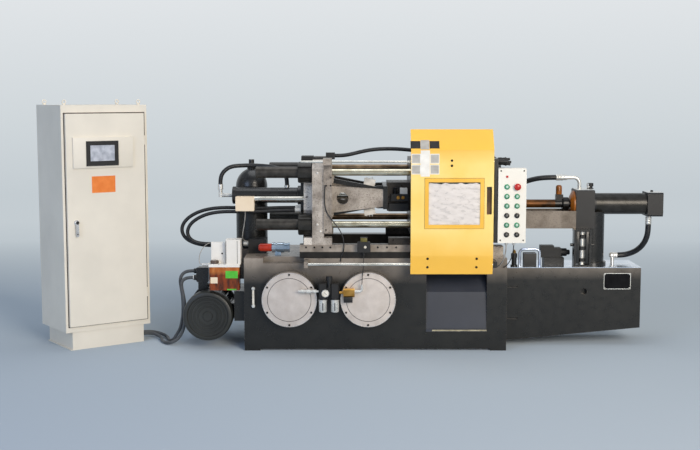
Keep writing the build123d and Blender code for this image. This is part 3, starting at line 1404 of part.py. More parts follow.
def air_unit():
    """Two heads with their bowls, joined by a neck, with a regulator knob, a gauge and a coupler."""
    y = AIR_Y
    bowls = [AIR_LEFT + inset for inset in AIR_BOWL_INSETS]
    half = AIR_BOWL_INSETS[0]
    low = AIR_BOTTOM + AIR_NECK_DROP
    high = AIR_TOP - AIR_NECK_DROP
    unit = block(AIR_LEFT, AIR_RIGHT, y - AIR_NECK, y + AIR_NECK, low, high)
    for x in bowls:
        head = block(x - half, x + half, AIR_FRONT, AIR_BACK, AIR_BOTTOM, AIR_TOP)
        unit += chamfer(head.edges().filter_by(Axis.Z), AIR_CORNER)
        collar = AIR_BOWL_COLLAR_HEIGHT
        length = AIR_BOWL_LENGTH
        bowl = turned([
            (0, AIR_BOWL_RADIUS - 2 * AIR_CORNER),
            (AIR_CORNER, AIR_BOWL_RADIUS),
            (length - collar, AIR_BOWL_RADIUS),
            (length - collar, AIR_BOWL_COLLAR),
            (length, AIR_BOWL_COLLAR),
        ])
        unit += Pos(x, y, AIR_BOTTOM - length) * bowl
    arm_middle = sum(COVER_X) / 2
    unit += block(
        arm_middle - AIR_ARM_HALF, arm_middle + AIR_ARM_HALF, y, -BED_HALF_DEPTH,
        AIR_BOTTOM + AIR_ARM_MARGIN + AIR_CORNER, AIR_TOP - AIR_ARM_MARGIN - AIR_CORNER,
    )
    knob_bottom = AIR_BONNET_HEIGHT
    bonnet = turned([
        (0, AIR_KNOB_RADIUS),
        (AIR_CORNER, AIR_BONNET_RADIUS),
        (knob_bottom, AIR_BONNET_RADIUS),
        (knob_bottom, AIR_KNOB_RADIUS),
        (knob_bottom + AIR_KNOB_HEIGHT - KNOB_RIM, AIR_KNOB_RADIUS),
        (knob_bottom + AIR_KNOB_HEIGHT, AIR_KNOB_RADIUS - KNOB_RIM),
    ])
    unit += Pos(AIR_LEFT + AIR_KNOB_INSET, y, high) * bonnet
    gauge_x = AIR_LEFT + AIR_GAUGE_INSET
    unit += rod_y(AIR_FRONT - AIR_GAUGE_DEPTH, AIR_FRONT + 2, gauge_x, AIR_GAUGE_Z, AIR_GAUGE_RADIUS)
    coupler_left = AIR_LEFT - AIR_COUPLER_LENGTH
    unit += rod_x(coupler_left, AIR_LEFT, y, AIR_COUPLER_Z, AIR_COUPLER_RADIUS)
    for inset, width in AIR_COUPLER_RINGS:
        ring_left = coupler_left + inset
        unit += rod_x(ring_left, ring_left + width, y, AIR_COUPLER_Z, AIR_COUPLER_RING_RADIUS)
    return unit


def air_valve():
    """Brass body on its pipe, with a coil below and an elbow at the right."""
    y = AIR_Y
    left = AIR_RIGHT + AIR_VALVE_GAP
    right = left + AIR_VALVE_LENGTH
    half = AIR_VALVE_HALF
    top = AIR_VALVE_BOTTOM + AIR_VALVE_HEIGHT
    body = block(left, right, y - half, y + half, AIR_VALVE_BOTTOM, top)
    body = chamfer(body.edges().filter_by(Axis.X), AIR_VALVE_BEVEL)
    middle = (AIR_VALVE_BOTTOM + top) / 2
    body += rod_x(AIR_RIGHT, left, y, middle, AIR_PIPE_RADIUS)
    coil_left = left + AIR_VALVE_COIL_INSET
    coil_half = half - AIR_VALVE_COIL_INSET
    body += block(
        coil_left, coil_left + AIR_VALVE_COIL_LENGTH, y - coil_half, y + coil_half,
        AIR_VALVE_BOTTOM - AIR_VALVE_COIL_DROP, AIR_VALVE_BOTTOM,
    )
    elbow_x = right + AIR_ELBOW_REACH - AIR_ELBOW_RADIUS
    elbow_z = middle + AIR_ELBOW_RADIUS
    corner = (elbow_x, y, elbow_z)
    end = (elbow_x, y, elbow_z + AIR_ELBOW_RISE)
    path = FilletPolyline((right, y, elbow_z), corner, end, radius=AIR_ELBOW_BEND)
    body += sweep(Plane((right, y, elbow_z), z_dir=(1, 0, 0)) * Circle(AIR_ELBOW_RADIUS), path=path)
    return body


def junction_box():
    """Cable box with a lid, held to the clamp cylinder by an arm."""
    back = JUNCTION_FRONT + JUNCTION_DEPTH
    lip = JUNCTION_LIP
    shell = block(
        JUNCTION_LEFT + lip, JUNCTION_RIGHT, JUNCTION_FRONT + JUNCTION_LID, back,
        JUNCTION_BOTTOM + lip, JUNCTION_TOP - lip,
    )
    lid = block(
        JUNCTION_LEFT, JUNCTION_RIGHT, JUNCTION_FRONT, JUNCTION_FRONT + JUNCTION_LID,
        JUNCTION_BOTTOM, JUNCTION_TOP,
    )
    box = shell + rounded(lid, Axis.Y, 2 * lip)
    middle = (JUNCTION_LEFT + JUNCTION_RIGHT) / 2
    half = JUNCTION_ARM_HALF
    low, high = (CLAMP_Z - drop for drop in JUNCTION_ARM_DROPS)
    arm = block(middle - half, middle + half, back, 0, low, high)
    arm -= rod_x(middle - half, middle + half, 0, CLAMP_Z, CLAMP_CYLINDER_RADIUS + BORE_CLEAR)
    return box + arm


def limit_switch():
    """Switch body on the way, with a narrower roller head and a cable gland."""
    front = -BED_HALF_DEPTH
    right = SWITCH_LEFT + SWITCH_WIDTH
    low = BED_TOP + SWITCH_RISE
    high = low + SWITCH_BODY_HEIGHT
    body = block(SWITCH_LEFT, right, front - SWITCH_DEPTH, front, low, high)
    body = chamfer(body.edges().filter_by(Axis.Y), SWITCH_BEVEL)
    inset = SWITCH_HEAD_INSET
    body += block(
        SWITCH_LEFT + inset, right - inset, front - SWITCH_DEPTH, front, high - 1, high + SWITCH_HEAD_HEIGHT
    )
    middle = (SWITCH_LEFT + right) / 2
    y = front - SWITCH_DEPTH / 2
    return body + rod_z(low - SWITCH_GLAND_LENGTH, low + 1, middle, y, SWITCH_GLAND_RADIUS)


def oil_filter():
    """Bowl and ribbed strainer in one line, on a foot."""
    band = STRAINER_BAND
    length = FILTER_LENGTH
    groove = STRAINER_RADIUS - STRAINER_GROOVE
    tip = STRAINER_RADIUS - STRAINER_END_STEP
    end = length + STRAINER_LENGTH
    body = turned([
        (0, FILTER_RADIUS - FILTER_DOME),
        (FILTER_DOME, FILTER_RADIUS),
        (length, FILTER_RADIUS),
        (length, STRAINER_RADIUS),
        (length + 2 * band, STRAINER_RADIUS),
        (length + 2 * band, groove),
        (length + 3 * band, groove),
        (length + 3 * band, STRAINER_RADIUS),
        (end - 3 * band, STRAINER_RADIUS),
        (end - 3 * band, groove),
        (end - band, groove),
        (end - band, tip),
        (end, tip),
    ])
    body = along_x(FILTER_LEFT, FILTER_Y, FILTER_Z) * body
    foot_left = FILTER_JOINT + FILTER_FOOT_INSET
    half = FILTER_FOOT_WIDTH / 2
    return body + block(
        foot_left, foot_left + FILTER_FOOT_WIDTH, FILTER_Y - half, FILTER_Y + half, BED_TOP, FILTER_Z
    )


# Injection unit


def shot_sleeve():
    sleeve = rod_x(FIXED_LEFT, SLEEVE_RIGHT, 0, SHOT_Z, SLEEVE_RADIUS)
    sleeve -= rod_x(FIXED_LEFT, SLEEVE_RIGHT, 0, SHOT_Z, SLEEVE_BORE)
    long = POUR_HALF_LENGTH
    wide = POUR_HALF_WIDTH
    return sleeve - block(POUR_X - long, POUR_X + long, -wide, wide, SHOT_Z, SHOT_Z + SLEEVE_RADIUS)


def injection_frame():
    """Trough-shaped frame between the fixed platen and the injection head."""
    half = FRAME_HALF_WIDTH
    inner = half - FRAME_WALL
    frame = block(FIXED_RIGHT, HEAD_LEFT, -half, half, FRAME_BOTTOM, FRAME_TOP)
    return frame - block(FIXED_RIGHT, HEAD_LEFT, -inner, inner, FRAME_BOTTOM + FRAME_WALL, FRAME_TOP)


def injection_flange():
    """Coned gland flange, cut away where it stands in the trough."""
    thick = SHOT_FLANGE_THICKNESS
    rim = SHOT_FLANGE_RIM
    cone = turned([(0, SHOT_FLANGE_NOSE), (thick - rim, SHOT_FLANGE_RADIUS), (thick, SHOT_FLANGE_RADIUS)])
    flange = along_x(SHOT_FLANGE_LEFT, 0, SHOT_Z) * cone
    flange -= rod_x(SHOT_FLANGE_LEFT, HEAD_LEFT, 0, SHOT_Z, SHOT_ROD_RADIUS + GUIDE_CLEAR)
    inner = FRAME_HALF_WIDTH - FRAME_WALL - BORE_CLEAR
    wide = 2 * SHOT_FLANGE_RADIUS
    keep = block(SHOT_FLANGE_LEFT, HEAD_LEFT, -inner, inner, FRAME_BOTTOM + FRAME_WALL, FRAME_TOP + 1)
    keep += block(SHOT_FLANGE_LEFT, HEAD_LEFT, -wide, wide, FRAME_TOP + BORE_CLEAR, SHOT_Z + wide)
    return flange & keep


def injection_head():
    """Head block with bevelled edges and a bleed plug on its top."""
    half = HEAD_HALF_WIDTH
    head = block(HEAD_LEFT, HEAD_RIGHT, -half, half, HEAD_BOTTOM, HEAD_TOP)
    head = chamfer(head.faces().sort_by(Axis.Z)[-1].edges(), HEAD_CHAMFER)
    plug = turned([
        (-HEAD_CHAMFER, HEAD_PLUG_RADIUS - HEAD_PLUG_STEP),
        (HEAD_PLUG_HEIGHT / 3, HEAD_PLUG_RADIUS - HEAD_PLUG_STEP),
        (HEAD_PLUG_HEIGHT / 3, HEAD_PLUG_RADIUS),
        (HEAD_PLUG_HEIGHT, HEAD_PLUG_RADIUS),
    ])
    head += Pos(HEAD_RIGHT - HEAD_CHAMFER - HEAD_PLUG_INSET, 0, HEAD_TOP) * plug
    return head - rod_x(HEAD_LEFT, HEAD_RIGHT, 0, SHOT_Z, SHOT_ROD_RADIUS + GUIDE_CLEAR)


def injection_cylinder():
    """Cylinder tube with a collar, a bevelled square cap and its drain plug."""
    half = SHOT_CAP_HALF
    tube = turned([
        (0, SHOT_COLLAR_RADIUS),
        (SHOT_COLLAR_LENGTH, SHOT_COLLAR_RADIUS),
        (SHOT_COLLAR_LENGTH, SHOT_CYLINDER_RADIUS),
        (SHOT_CYLINDER_LENGTH, SHOT_CYLINDER_RADIUS),
    ])
    cylinder = along_x(HEAD_RIGHT, 0, SHOT_Z) * tube
    cap = block(SHOT_CYLINDER_RIGHT, SHOT_CAP_RIGHT, -half, half, SHOT_Z - half, SHOT_Z + half)
    cylinder += chamfer(cap.edges().filter_by(Axis.X), SHOT_CAP_CHAMFER)
    plug_z = SHOT_Z - SHOT_PLUG_DROP
    cylinder += rod_x(SHOT_CAP_RIGHT, SHOT_CAP_RIGHT + SHOT_PLUG_LENGTH, 0, plug_z, SHOT_PLUG_RADIUS)
    bore_end = HEAD_RIGHT + SHOT_STROKE + SHOT_BORE_SPARE
    return cylinder - rod_x(HEAD_RIGHT, bore_end, 0, SHOT_Z, SHOT_ROD_RADIUS + GUIDE_CLEAR)


def injection_rod():
    """Piston rod with its coupling, plunger tip and the capped striker of its switch."""
    rod_end = HEAD_RIGHT + SHOT_STROKE + SHOT_BORE_SPARE - STRIKER_HALF
    rod = rod_x(PLUNGER_LEFT, rod_end, 0, SHOT_Z, SHOT_ROD_RADIUS)
    rod += rod_x(PLUNGER_LEFT, PLUNGER_LEFT + PLUNGER_LENGTH, 0, SHOT_Z, PLUNGER_RADIUS)
    rim = COUPLING_CHAMFER
    coupling = turned([
        (0, COUPLING_RADIUS - rim),
        (rim, COUPLING_RADIUS),
        (COUPLING_LENGTH - rim, COUPLING_RADIUS),
        (COUPLING_LENGTH, COUPLING_RADIUS - rim),
    ])
    rod += along_x(COUPLING_LEFT, 0, SHOT_Z) * coupling
    half = STRIKER_HALF
    block_top = SHOT_Z + STRIKER_BLOCK_RISE
    rod += block(STRIKER_LEFT, COUPLING_LEFT + rim, -half, half, SHOT_Z, block_top)
    height = STRIKER_CAP_RISE - STRIKER_BLOCK_RISE
    dome = STRIKER_CAP_DOME
    cap = turned([
        (0, STRIKER_CAP_RADIUS - KNOB_RIM),
        (height - dome, STRIKER_CAP_RADIUS),
        (height - dome / 3, STRIKER_CAP_RADIUS - dome / 2),
        (height, STRIKER_CAP_RADIUS - dome),
    ])
    return rod + Pos(STRIKER_LEFT + STRIKER_LENGTH / 2, 0, block_top) * cap


def support_column():
    """Round column that is cut away to seat the injection head and the cylinder."""
    half = HEAD_HALF_WIDTH
    column = rod_z(DECK_TOP, SHOT_Z, COLUMN_X, 0, COLUMN_RADIUS)
    column += rod_z(DECK_TOP, DECK_TOP + COLUMN_FLANGE_HEIGHT, COLUMN_X, 0, COLUMN_FLANGE_RADIUS)
    column -= block(HEAD_LEFT, HEAD_RIGHT, -half, half, HEAD_BOTTOM, HEAD_TOP)
    reach = HEAD_RIGHT + 2 * COLUMN_RADIUS
    column -= rod_x(HEAD_RIGHT, reach, 0, SHOT_Z, SHOT_COLLAR_RADIUS + BORE_CLEAR)
    return column - block(HEAD_RIGHT, reach, -2 * half, 2 * half, SHOT_Z - COLUMN_SADDLE_DROP, SHOT_Z + 1)


def jack_screw():
    """Screw jack in its own small frame, in front of the column."""
    top = HEAD_BOTTOM
    frame = block(JACK_LEFT, JACK_RIGHT, JACK_FRONT, JACK_BACK, DECK_TOP, DECK_TOP + JACK_PLATE)
    frame += block(JACK_LEFT, JACK_LEFT + JACK_PLATE, JACK_FRONT, JACK_BACK, DECK_TOP, top)
    frame += block(JACK_RIGHT - JACK_PLATE, JACK_RIGHT, JACK_FRONT, JACK_BACK, DECK_TOP, top)
    middle = (JACK_LEFT + JACK_RIGHT) / 2
    y = (JACK_FRONT + JACK_BACK) / 2
    frame += rod_z(DECK_TOP, top, middle, y, JACK_SCREW_RADIUS)
    for rise in JACK_NUT_RISES:
        nut = RegularPolygon(JACK_NUT_RADIUS, 6)
        frame += Pos(middle, y, DECK_TOP + rise) * extrude(nut, amount=JACK_NUT_HEIGHT)
    knob_z = DECK_TOP + JACK_KNOB_RISE
    frame += rod_x(JACK_LEFT - JACK_KNOB_LENGTH, JACK_LEFT, y, knob_z, JACK_KNOB_RADIUS)
    frame += rod_x(JACK_RIGHT, JACK_RIGHT + JACK_KNOB_LENGTH, y, knob_z, JACK_KNOB_RADIUS)
    return frame + block(JACK_LEFT, JACK_RIGHT, JACK_FRONT, -HEAD_HALF_WIDTH, top - JACK_PLATE, top)


def deck_valve():
    """Shot valve on the deck: base, body with a cap, and a coil with its knob."""
    wide = VALVE_HALF_WIDTH
    base_top = DECK_TOP + VALVE_BASE_HEIGHT
    valve = block(
        VALVE_LEFT + VALVE_BASE_INSET, VALVE_RIGHT - VALVE_BASE_INSET, -wide, wide, DECK_TOP, base_top
    )
    body_right = VALVE_LEFT + VALVE_BODY_LENGTH
    body_top = base_top + VALVE_BODY_HEIGHT
    narrow = VALVE_BODY_HALF
    valve += block(VALVE_LEFT, body_right, -narrow, narrow, base_top, body_top)
    cap_right = VALVE_LEFT + VALVE_CAP_LENGTH
    valve += block(VALVE_LEFT, cap_right, -narrow, narrow, body_top, body_top + VALVE_CAP_HEIGHT)
    coil_z = base_top + VALVE_BODY_HEIGHT / 2
    coil = turned([
        (0, VALVE_COIL_RADIUS),
        (VALVE_RIGHT - body_right, VALVE_COIL_RADIUS),
        (VALVE_RIGHT - body_right, VALVE_KNOB_RADIUS),
        (VALVE_RIGHT - body_right + VALVE_KNOB_LENGTH - KNOB_RIM, VALVE_KNOB_RADIUS),
        (VALVE_RIGHT - body_right + VALVE_KNOB_LENGTH, VALVE_KNOB_RADIUS - KNOB_RIM),
    ])
    return valve + along_x(body_right, 0, coil_z) * coil


def valve_blocks():
    """Shot valve, clamp valve block, two valves on the moving platen and the tail platen's manifold."""
    clamp_right = CLAMP_VALVE_LEFT + CLAMP_VALVE_LENGTH
    clamp_rear = CLAMP_VALVE_FRONT + CLAMP_VALVE_DEPTH
    clamp = block(
        CLAMP_VALVE_LEFT, clamp_right, CLAMP_VALVE_FRONT, clamp_rear, BED_TOP, BED_TOP + CLAMP_VALVE_HEIGHT
    )
    front = -BOSS_HALF_WIDTH
    right = BOSS_VALVE_RIGHT
    top = BOSS_VALVE_BOTTOM + BOSS_VALVE_HEIGHT
    upper = block(right - BOSS_VALVE_LENGTH, right, front - BOSS_VALVE_DEPTH, front, BOSS_VALVE_BOTTOM, top)
    for share in BOSS_PORT_SHARES:
        x = right - share * BOSS_VALVE_LENGTH
        upper += rod_z(top, top + BOSS_PORT_RISE, x, front - BOSS_VALVE_DEPTH / 2, BOSS_PORT_RADIUS)
    lower = block(
        right - BOSS_BLOCK_LENGTH, right, front - BOSS_BLOCK_DEPTH, front,
        BOSS_BLOCK_BOTTOM, BOSS_BLOCK_BOTTOM + BOSS_BLOCK_HEIGHT,
    )
    return loose(deck_valve(), clamp, upper, lower, top_manifold())


def top_manifold():
    """Plate on the tail platen with a raised block at each end."""
    low = PLATEN_TOP
    right = PLATEN_HOSE[0][0]
    y0 = TOP_BLOCK_FRONT
    y1 = TOP_BLOCK_REAR
    plate = block(TOP_BLOCK_LEFT, right, y0, y1, low, low + TOP_PLATE)
    left_end = TOP_BLOCK_LEFT + TOP_BLOCK_LENGTH
    plate += block(TOP_BLOCK_LEFT, left_end, y0, y1, low, low + TOP_BLOCK_HEIGHT)
    plate += block(TOP_BLOCK_LEFT, TAIL_LEFT, y0, y1, low - TOP_BLOCK_DROP, low)
    port_left = right - TOP_PORT_LENGTH
    return plate + block(port_left, right, y0 + TOP_PORT_LENGTH, y1, low, low + TOP_PORT_HEIGHT)


def steel_loop():
    """Bent steel tube round a small pilot valve on the deck."""
    top = DECK_TOP + LOOP_HEIGHT
    corners = [
        (LOOP_LEFT, LOOP_Y, DECK_TOP),
        (LOOP_LEFT, LOOP_Y, top),
        (LOOP_RIGHT, LOOP_Y, top),
        (LOOP_RIGHT, LOOP_Y, DECK_TOP),
    ]
    path = FilletPolyline(*corners, radius=LOOP_BEND)
    tube = sweep(Plane(corners[0], z_dir=(0, 0, 1)) * Circle(LOOP_RADIUS), path=path)
    inset = PILOT_INSET
    half = PILOT_HALF
    pilot = block(
        LOOP_LEFT + inset, LOOP_RIGHT - inset, LOOP_Y - half, LOOP_Y + half,
        DECK_TOP, DECK_TOP + PILOT_HEIGHT,
    )
    return loose(tube, pilot)


# Control cabinet, drawn square in its own frame and then turned into place


def cabinet_place(piece):
    return Pos(CABINET_CORNER[0], CABINET_CORNER[1], 0) * Rot(0, 0, CABINET_TURN) * piece


def cabinet_shell():
    """Sheet box with a door opening, hinge knuckles and four lifting eyes."""
    sheet = SHELL_SHEET
    shell = block(0, CABINET_WIDTH, 0, CABINET_DEPTH, PLINTH_HEIGHT, CABINET_TOP)
    shell -= block(
        sheet, CABINET_WIDTH - sheet, sheet, CABINET_DEPTH - sheet,
        PLINTH_HEIGHT + sheet, CABINET_TOP - sheet,
    )
    rim = DOOR_MARGIN_SIDE + SHELL_RIM
    shell -= block(rim, CABINET_WIDTH - rim, 0, sheet, DOOR_BOTTOM + SHELL_RIM, DOOR_TOP - SHELL_RIM)
    for knuckle in hinge_knuckles():
        shell += knuckle
    for x in (EYE_INSET, CABINET_WIDTH - EYE_INSET):
        for y in (EYE_INSET, CABINET_DEPTH - EYE_INSET):
            shell += rod_z(CABINET_TOP, CABINET_TOP + EYE_BASE_HEIGHT, x, y, EYE_BASE_RADIUS)
            eye = Torus(EYE_RADIUS - EYE_WIRE, EYE_WIRE)
            shell += Pos(x, y, CABINET_TOP + EYE_RADIUS + EYE_WIRE) * Rot(90, 0, 0) * eye
    return cabinet_place(shell)


def cabinet_plinth():
    """Sheet plinth on a floor flange, with two cable glands on its right side."""
    side = PLINTH_INSET_SIDE
    front = PLINTH_INSET_FRONT
    sheet = PLINTH_SHEET
    right = CABINET_WIDTH - side
    flange = PLINTH_FLANGE
    back = CABINET_DEPTH - front
    plinth = block(side, right, front, back, 0, PLINTH_HEIGHT)
    plinth += block(side - flange, right, front, back, 0, PLINTH_FLANGE_HEIGHT)
    plinth -= block(side + sheet, right - sheet, front + sheet, back - sheet, 0, PLINTH_HEIGHT)
    for y in CONDUIT_EXITS:
        plinth -= rod_x(right - sheet, right, y, CONDUIT_EXIT_Z, CONDUIT_HOLE)
        plinth += rod_x(right, right + PLINTH_GLAND, y, CONDUIT_EXIT_Z, GLAND_NUT_RADIUS)
    return cabinet_place(plinth)


def cabinet_plate():
    """Mounting plate inside the back of the cabinet, on four stand-offs."""
    back = CABINET_DEPTH - SHELL_SHEET
    margin = MOUNT_PLATE_MARGIN
    front = back - MOUNT_PLATE_GAP
    low = PLINTH_HEIGHT + margin
    high = CABINET_TOP - margin
    plate = block(margin, CABINET_WIDTH - margin, front - MOUNT_PLATE_SHEET, front, low, high)
    for x in (1.5 * margin, CABINET_WIDTH - 1.5 * margin):
        for z in (PLINTH_HEIGHT + 2 * margin, CABINET_TOP - 2 * margin):
            plate += rod_y(front, back, x, z, margin / 5)
    return cabinet_place(plate)


def cabinet_door():
    """Folded door tray with its hinge knuckles and pins, bored for the lock's shaft."""
    left = DOOR_MARGIN_SIDE
    right = DOOR_RIGHT
    back = -DOOR_GAP
    front = DOOR_FRONT
    sheet = DOOR_SHEET
    door = block(left, right, front, back, DOOR_BOTTOM, DOOR_TOP)
    door -= block(left + sheet, right - sheet, front + sheet, back, DOOR_BOTTOM + sheet, DOOR_TOP - sheet)
    door -= rod_y(front, front + sheet, LOCK_X, LOCK_Z, LOCK_SHAFT_RADIUS + BORE_CLEAR)
    middle = (front + back) / 2
    half = HINGE_LENGTH / 2
    leaf = HINGE_LEAF / 2
    for z in HINGE_Z:
        door += rod_z(z, z + half, HINGE_X, middle, HINGE_RADIUS)
        door += block(right - 1, HINGE_X, middle - leaf, middle + leaf, z, z + half)
        door += rod_z(z - half, z + half, HINGE_X, middle, HINGE_PIN_RADIUS)
    return cabinet_place(door)


def hinge_knuckles():
    """Lower knuckles of the two door hinges, on the shell's front edge."""
    middle = -DOOR_GAP - DOOR_THICKNESS / 2
    half = HINGE_LENGTH / 2
    leg = HINGE_PIN_RADIUS
    hinges = []
    for z in HINGE_Z:
        low = z - half
        high = z - BORE_CLEAR
        knuckle = rod_z(low, high, HINGE_X, middle, HINGE_RADIUS)
        knuckle += block(HINGE_X - leg, HINGE_X + leg, middle, 0, low, high)
        hinges.append(knuckle - rod_z(low, high, HINGE_X, middle, HINGE_PIN_RADIUS + BORE_CLEAR))
    return hinges


def screen_panel():
    """Raised operator panel with a bevelled rim, and the bezel with its sunk screen."""
    face = DOOR_FRONT - PANEL_RISE
    panel = block(PANEL_LEFT, PANEL_RIGHT, face, DOOR_FRONT, PANEL_BOTTOM, PANEL_TOP)
    panel = chamfer(panel.faces().sort_by(Axis.Y)[0].edges(), PANEL_CHAMFER)
    left = PANEL_LEFT + BEZEL_MARGIN_LEFT
    right = PANEL_RIGHT - BEZEL_MARGIN_RIGHT
    low = PANEL_BOTTOM + BEZEL_MARGIN_BOTTOM
    high = PANEL_TOP - BEZEL_MARGIN_TOP
    front = face - BEZEL_RISE
    panel += block(left, right, front, face, low, high)
    border = SCREEN_BORDER
    sunk = front + SCREEN_DEPTH
    panel -= block(left + border, right - border, front, sunk, low + border, high - border)
    return cabinet_place(panel)


def door_lock():
    """Lever on a round rose, with its shaft through the door sheet and a nut behind it."""
    front = DOOR_FRONT
    collar = front - LOCK_HEIGHT
    inside = front + DOOR_SHEET + BORE_CLEAR
    lock = rod_y(collar, front - BORE_CLEAR, LOCK_X, LOCK_Z, LOCK_RADIUS)
    lock += rod_y(collar, inside + LOCK_NUT_HEIGHT, LOCK_X, LOCK_Z, LOCK_SHAFT_RADIUS)
    lock += rod_y(inside, inside + LOCK_NUT_HEIGHT, LOCK_X, LOCK_Z, LOCK_NUT_RADIUS)
    half = LEVER_WIDTH / 2
    lever = block(
        LOCK_X - half, LOCK_X + half, collar - LEVER_THICKNESS, collar, LOCK_Z - LEVER_LENGTH, LOCK_Z + half
    )
    return cabinet_place(lock + rounded(lever, Axis.Y, half - 1))


# Hose fittings, hoses and conduits


def ferrule(length):
    """A crimped ferrule along Z, with a bead at its hose end."""
    waist = FERRULE_RADIUS - FERRULE_GROOVE
    low, high = (length * share for share in FERRULE_GROOVE_SPAN)
    return turned([
        (0, FERRULE_RADIUS),
        (low, FERRULE_RADIUS),
        (low, waist),
        (high, waist),
        (high, FERRULE_RADIUS),
        (length, FERRULE_RADIUS),
    ])


def hose_fittings():
    """Elbows and ferrules at the ends of the oil hoses."""
    port = PORT_RADIUS
    cap_left = CLAMP_CYLINDER_LEFT - CLAMP_CAP_LENGTH
    x, y, z = CLAMP_HOSE[0]
    rear_elbow = rod_x(x, cap_left, 0, CLAMP_Z, port) + rod_z(CLAMP_Z - port, z, x, y, port)
    rear_elbow += Pos(x, y, z - FERRULE_LENGTH) * ferrule(FERRULE_LENGTH)
    x, y, z = CLAMP_HOSE[-1]
    reach = CLAMP_PORT_REACH
    front_port = rod_z(CLAMP_Z, z, x, y, port) + rod_z(z - CLAMP_PORT_COLLAR, z, x, y, FERRULE_RADIUS)
    front_port -= rod_x(x - reach, x + reach, 0, CLAMP_Z, CLAMP_CYLINDER_RADIUS + BORE_CLEAR)
    fittings = [rear_elbow, front_port]
    for route in (TAIL_HOSE_UPPER, TAIL_HOSE_LOWER):
        x, y, z = route[0]
        fittings.append(rod_x(x, CLAMP_FLANGE_LEFT, y, z, SMALL_PORT_RADIUS))
        x, y, z = route[-1]
        fittings.append(rod_x(x, CLAMP_VALVE_LEFT, y, z, SMALL_PORT_RADIUS))
    x, y, z = HEAD_HOSE[0]
    fittings.append(rod_x(FIXED_RIGHT, x, y, z, FERRULE_RADIUS))
    x, y, z = HEAD_HOSE[-1]
    corner = (HEAD_ELBOW_X, y, z)
    path = FilletPolyline((x, y, z), corner, (HEAD_ELBOW_X, y, HEAD_TOP), radius=ELBOW_BEND)
    elbow = sweep(Plane((x, y, z), z_dir=(1, 0, 0)) * Circle(port), path=path)
    fittings.append(elbow + along_x(x, y, z) * ferrule(ELBOW_FERRULE_LENGTH))
    x, y, z = CYLINDER_HOSE[0]
    cap_bottom = SHOT_Z - SHOT_CAP_HALF
    fittings.append(Pos(x, y, z) * ferrule(cap_bottom - z))
    x, y, z = CYLINDER_HOSE[-1]
    adapter = rod_x(x - DECK_ADAPTER_LENGTH, x, y, z, FERRULE_RADIUS)
    fittings.append(adapter + rod_z(DECK_TOP, z, x - DECK_RISER_INSET, y, port))
    x, y, z = PLATEN_HOSE[-1]
    top = z - PLATEN_FERRULE_LENGTH
    r = FERRULE_RADIUS
    platen_port = block(FIXED_RIGHT, x + r, y - r, y + r, top - PLATEN_PORT_HEIGHT, top)
    fittings.append(platen_port + rod_z(top, z, x, y, r))
    return loose(*fittings)


# Routes of the hoses and conduits
CLAMP_HOSE = [
    (-874, 0, 1066), (-874, 0, 1106), (-859, 3, 1143), (-830, 9, 1171), (-793, 17, 1187), (-725, 30, 1191),
    (-645, 37, 1191), (-565, 26, 1187), (-506, 8, 1180), (-468, 1, 1165), (-440, 0, 1137), (-425, 0, 1100),
    (-425, 0, 1060),
]
TAIL_HOSE_UPPER = [
    (-368, -45, 912), (-460, -45, 912), (-560, -47, 908), (-660, -50, 907), (-760, -50, 912), (-860, -50, 913),
    (-950, -50, 904), (-1030, -50, 880), (-1095, -50, 840), (-1131, -50, 790), (-1131, -50, 738), (-1098, -48, 695),
    (-1040, -46, 668), (-970, -40, 655), (-895, -24, 654), (-805, 0, 656), (-715, 0, 656),
]
TAIL_HOSE_LOWER = [
    (-368, -88, 897), (-460, -88, 897), (-560, -90, 891), (-660, -92, 888), (-760, -94, 890), (-855, -96, 890),
    (-942, -97, 878), (-1012, -98, 850), (-1066, -98, 810), (-1090, -98, 762), (-1082, -96, 718), (-1048, -94, 688),
    (-995, -92, 674), (-925, -84, 671), (-825, -80, 672), (-715, -80, 672),
]
HEAD_HOSE = [
    (950, 80, 1010), (1010, 80, 1010), (1078, 76, 1030), (1150, 58, 1064), (1228, 26, 1096), (1310, 0, 1112),
    (1392, 0, 1112),
]
HEAD_ELBOW_X = 1548
CYLINDER_HOSE = [
    (2012, -30, 808), (2012, -30, 764), (2008, -25, 718), (1996, -9, 674), (1976, 17, 636), (1950, 47, 606),
    (1916, 74, 585), (1872, 90, 572), (1826, 90, 572),
]
PLATEN_HOSE = [
    (-101, -60, 1262), (-50, -60, 1262), (10, -60, 1274), (80, -58, 1292), (160, -56, 1302), (245, -56, 1300),
    (325, -58, 1287), (400, -60, 1270), (475, -61, 1262), (560, -62, 1258), (650, -63, 1256), (740, -62, 1258),
    (825, -61, 1263), (890, -60, 1266), (945, -60, 1257), (984, -60, 1228), (1000, -60, 1184), (1000, -60, 1138),
]


def plinth_exit(y, reach=0):
    """A point on the line of a gland on the right side of the plinth, reach beyond its end."""
    turn = math.radians(CABINET_TURN)
    x = CABINET_WIDTH - PLINTH_INSET_SIDE + PLINTH_GLAND + reach
    return (
        CABINET_CORNER[0] + x * math.cos(turn) - y * math.sin(turn),
        CABINET_CORNER[1] + x * math.sin(turn) + y * math.cos(turn),
        CONDUIT_EXIT_Z,
    )


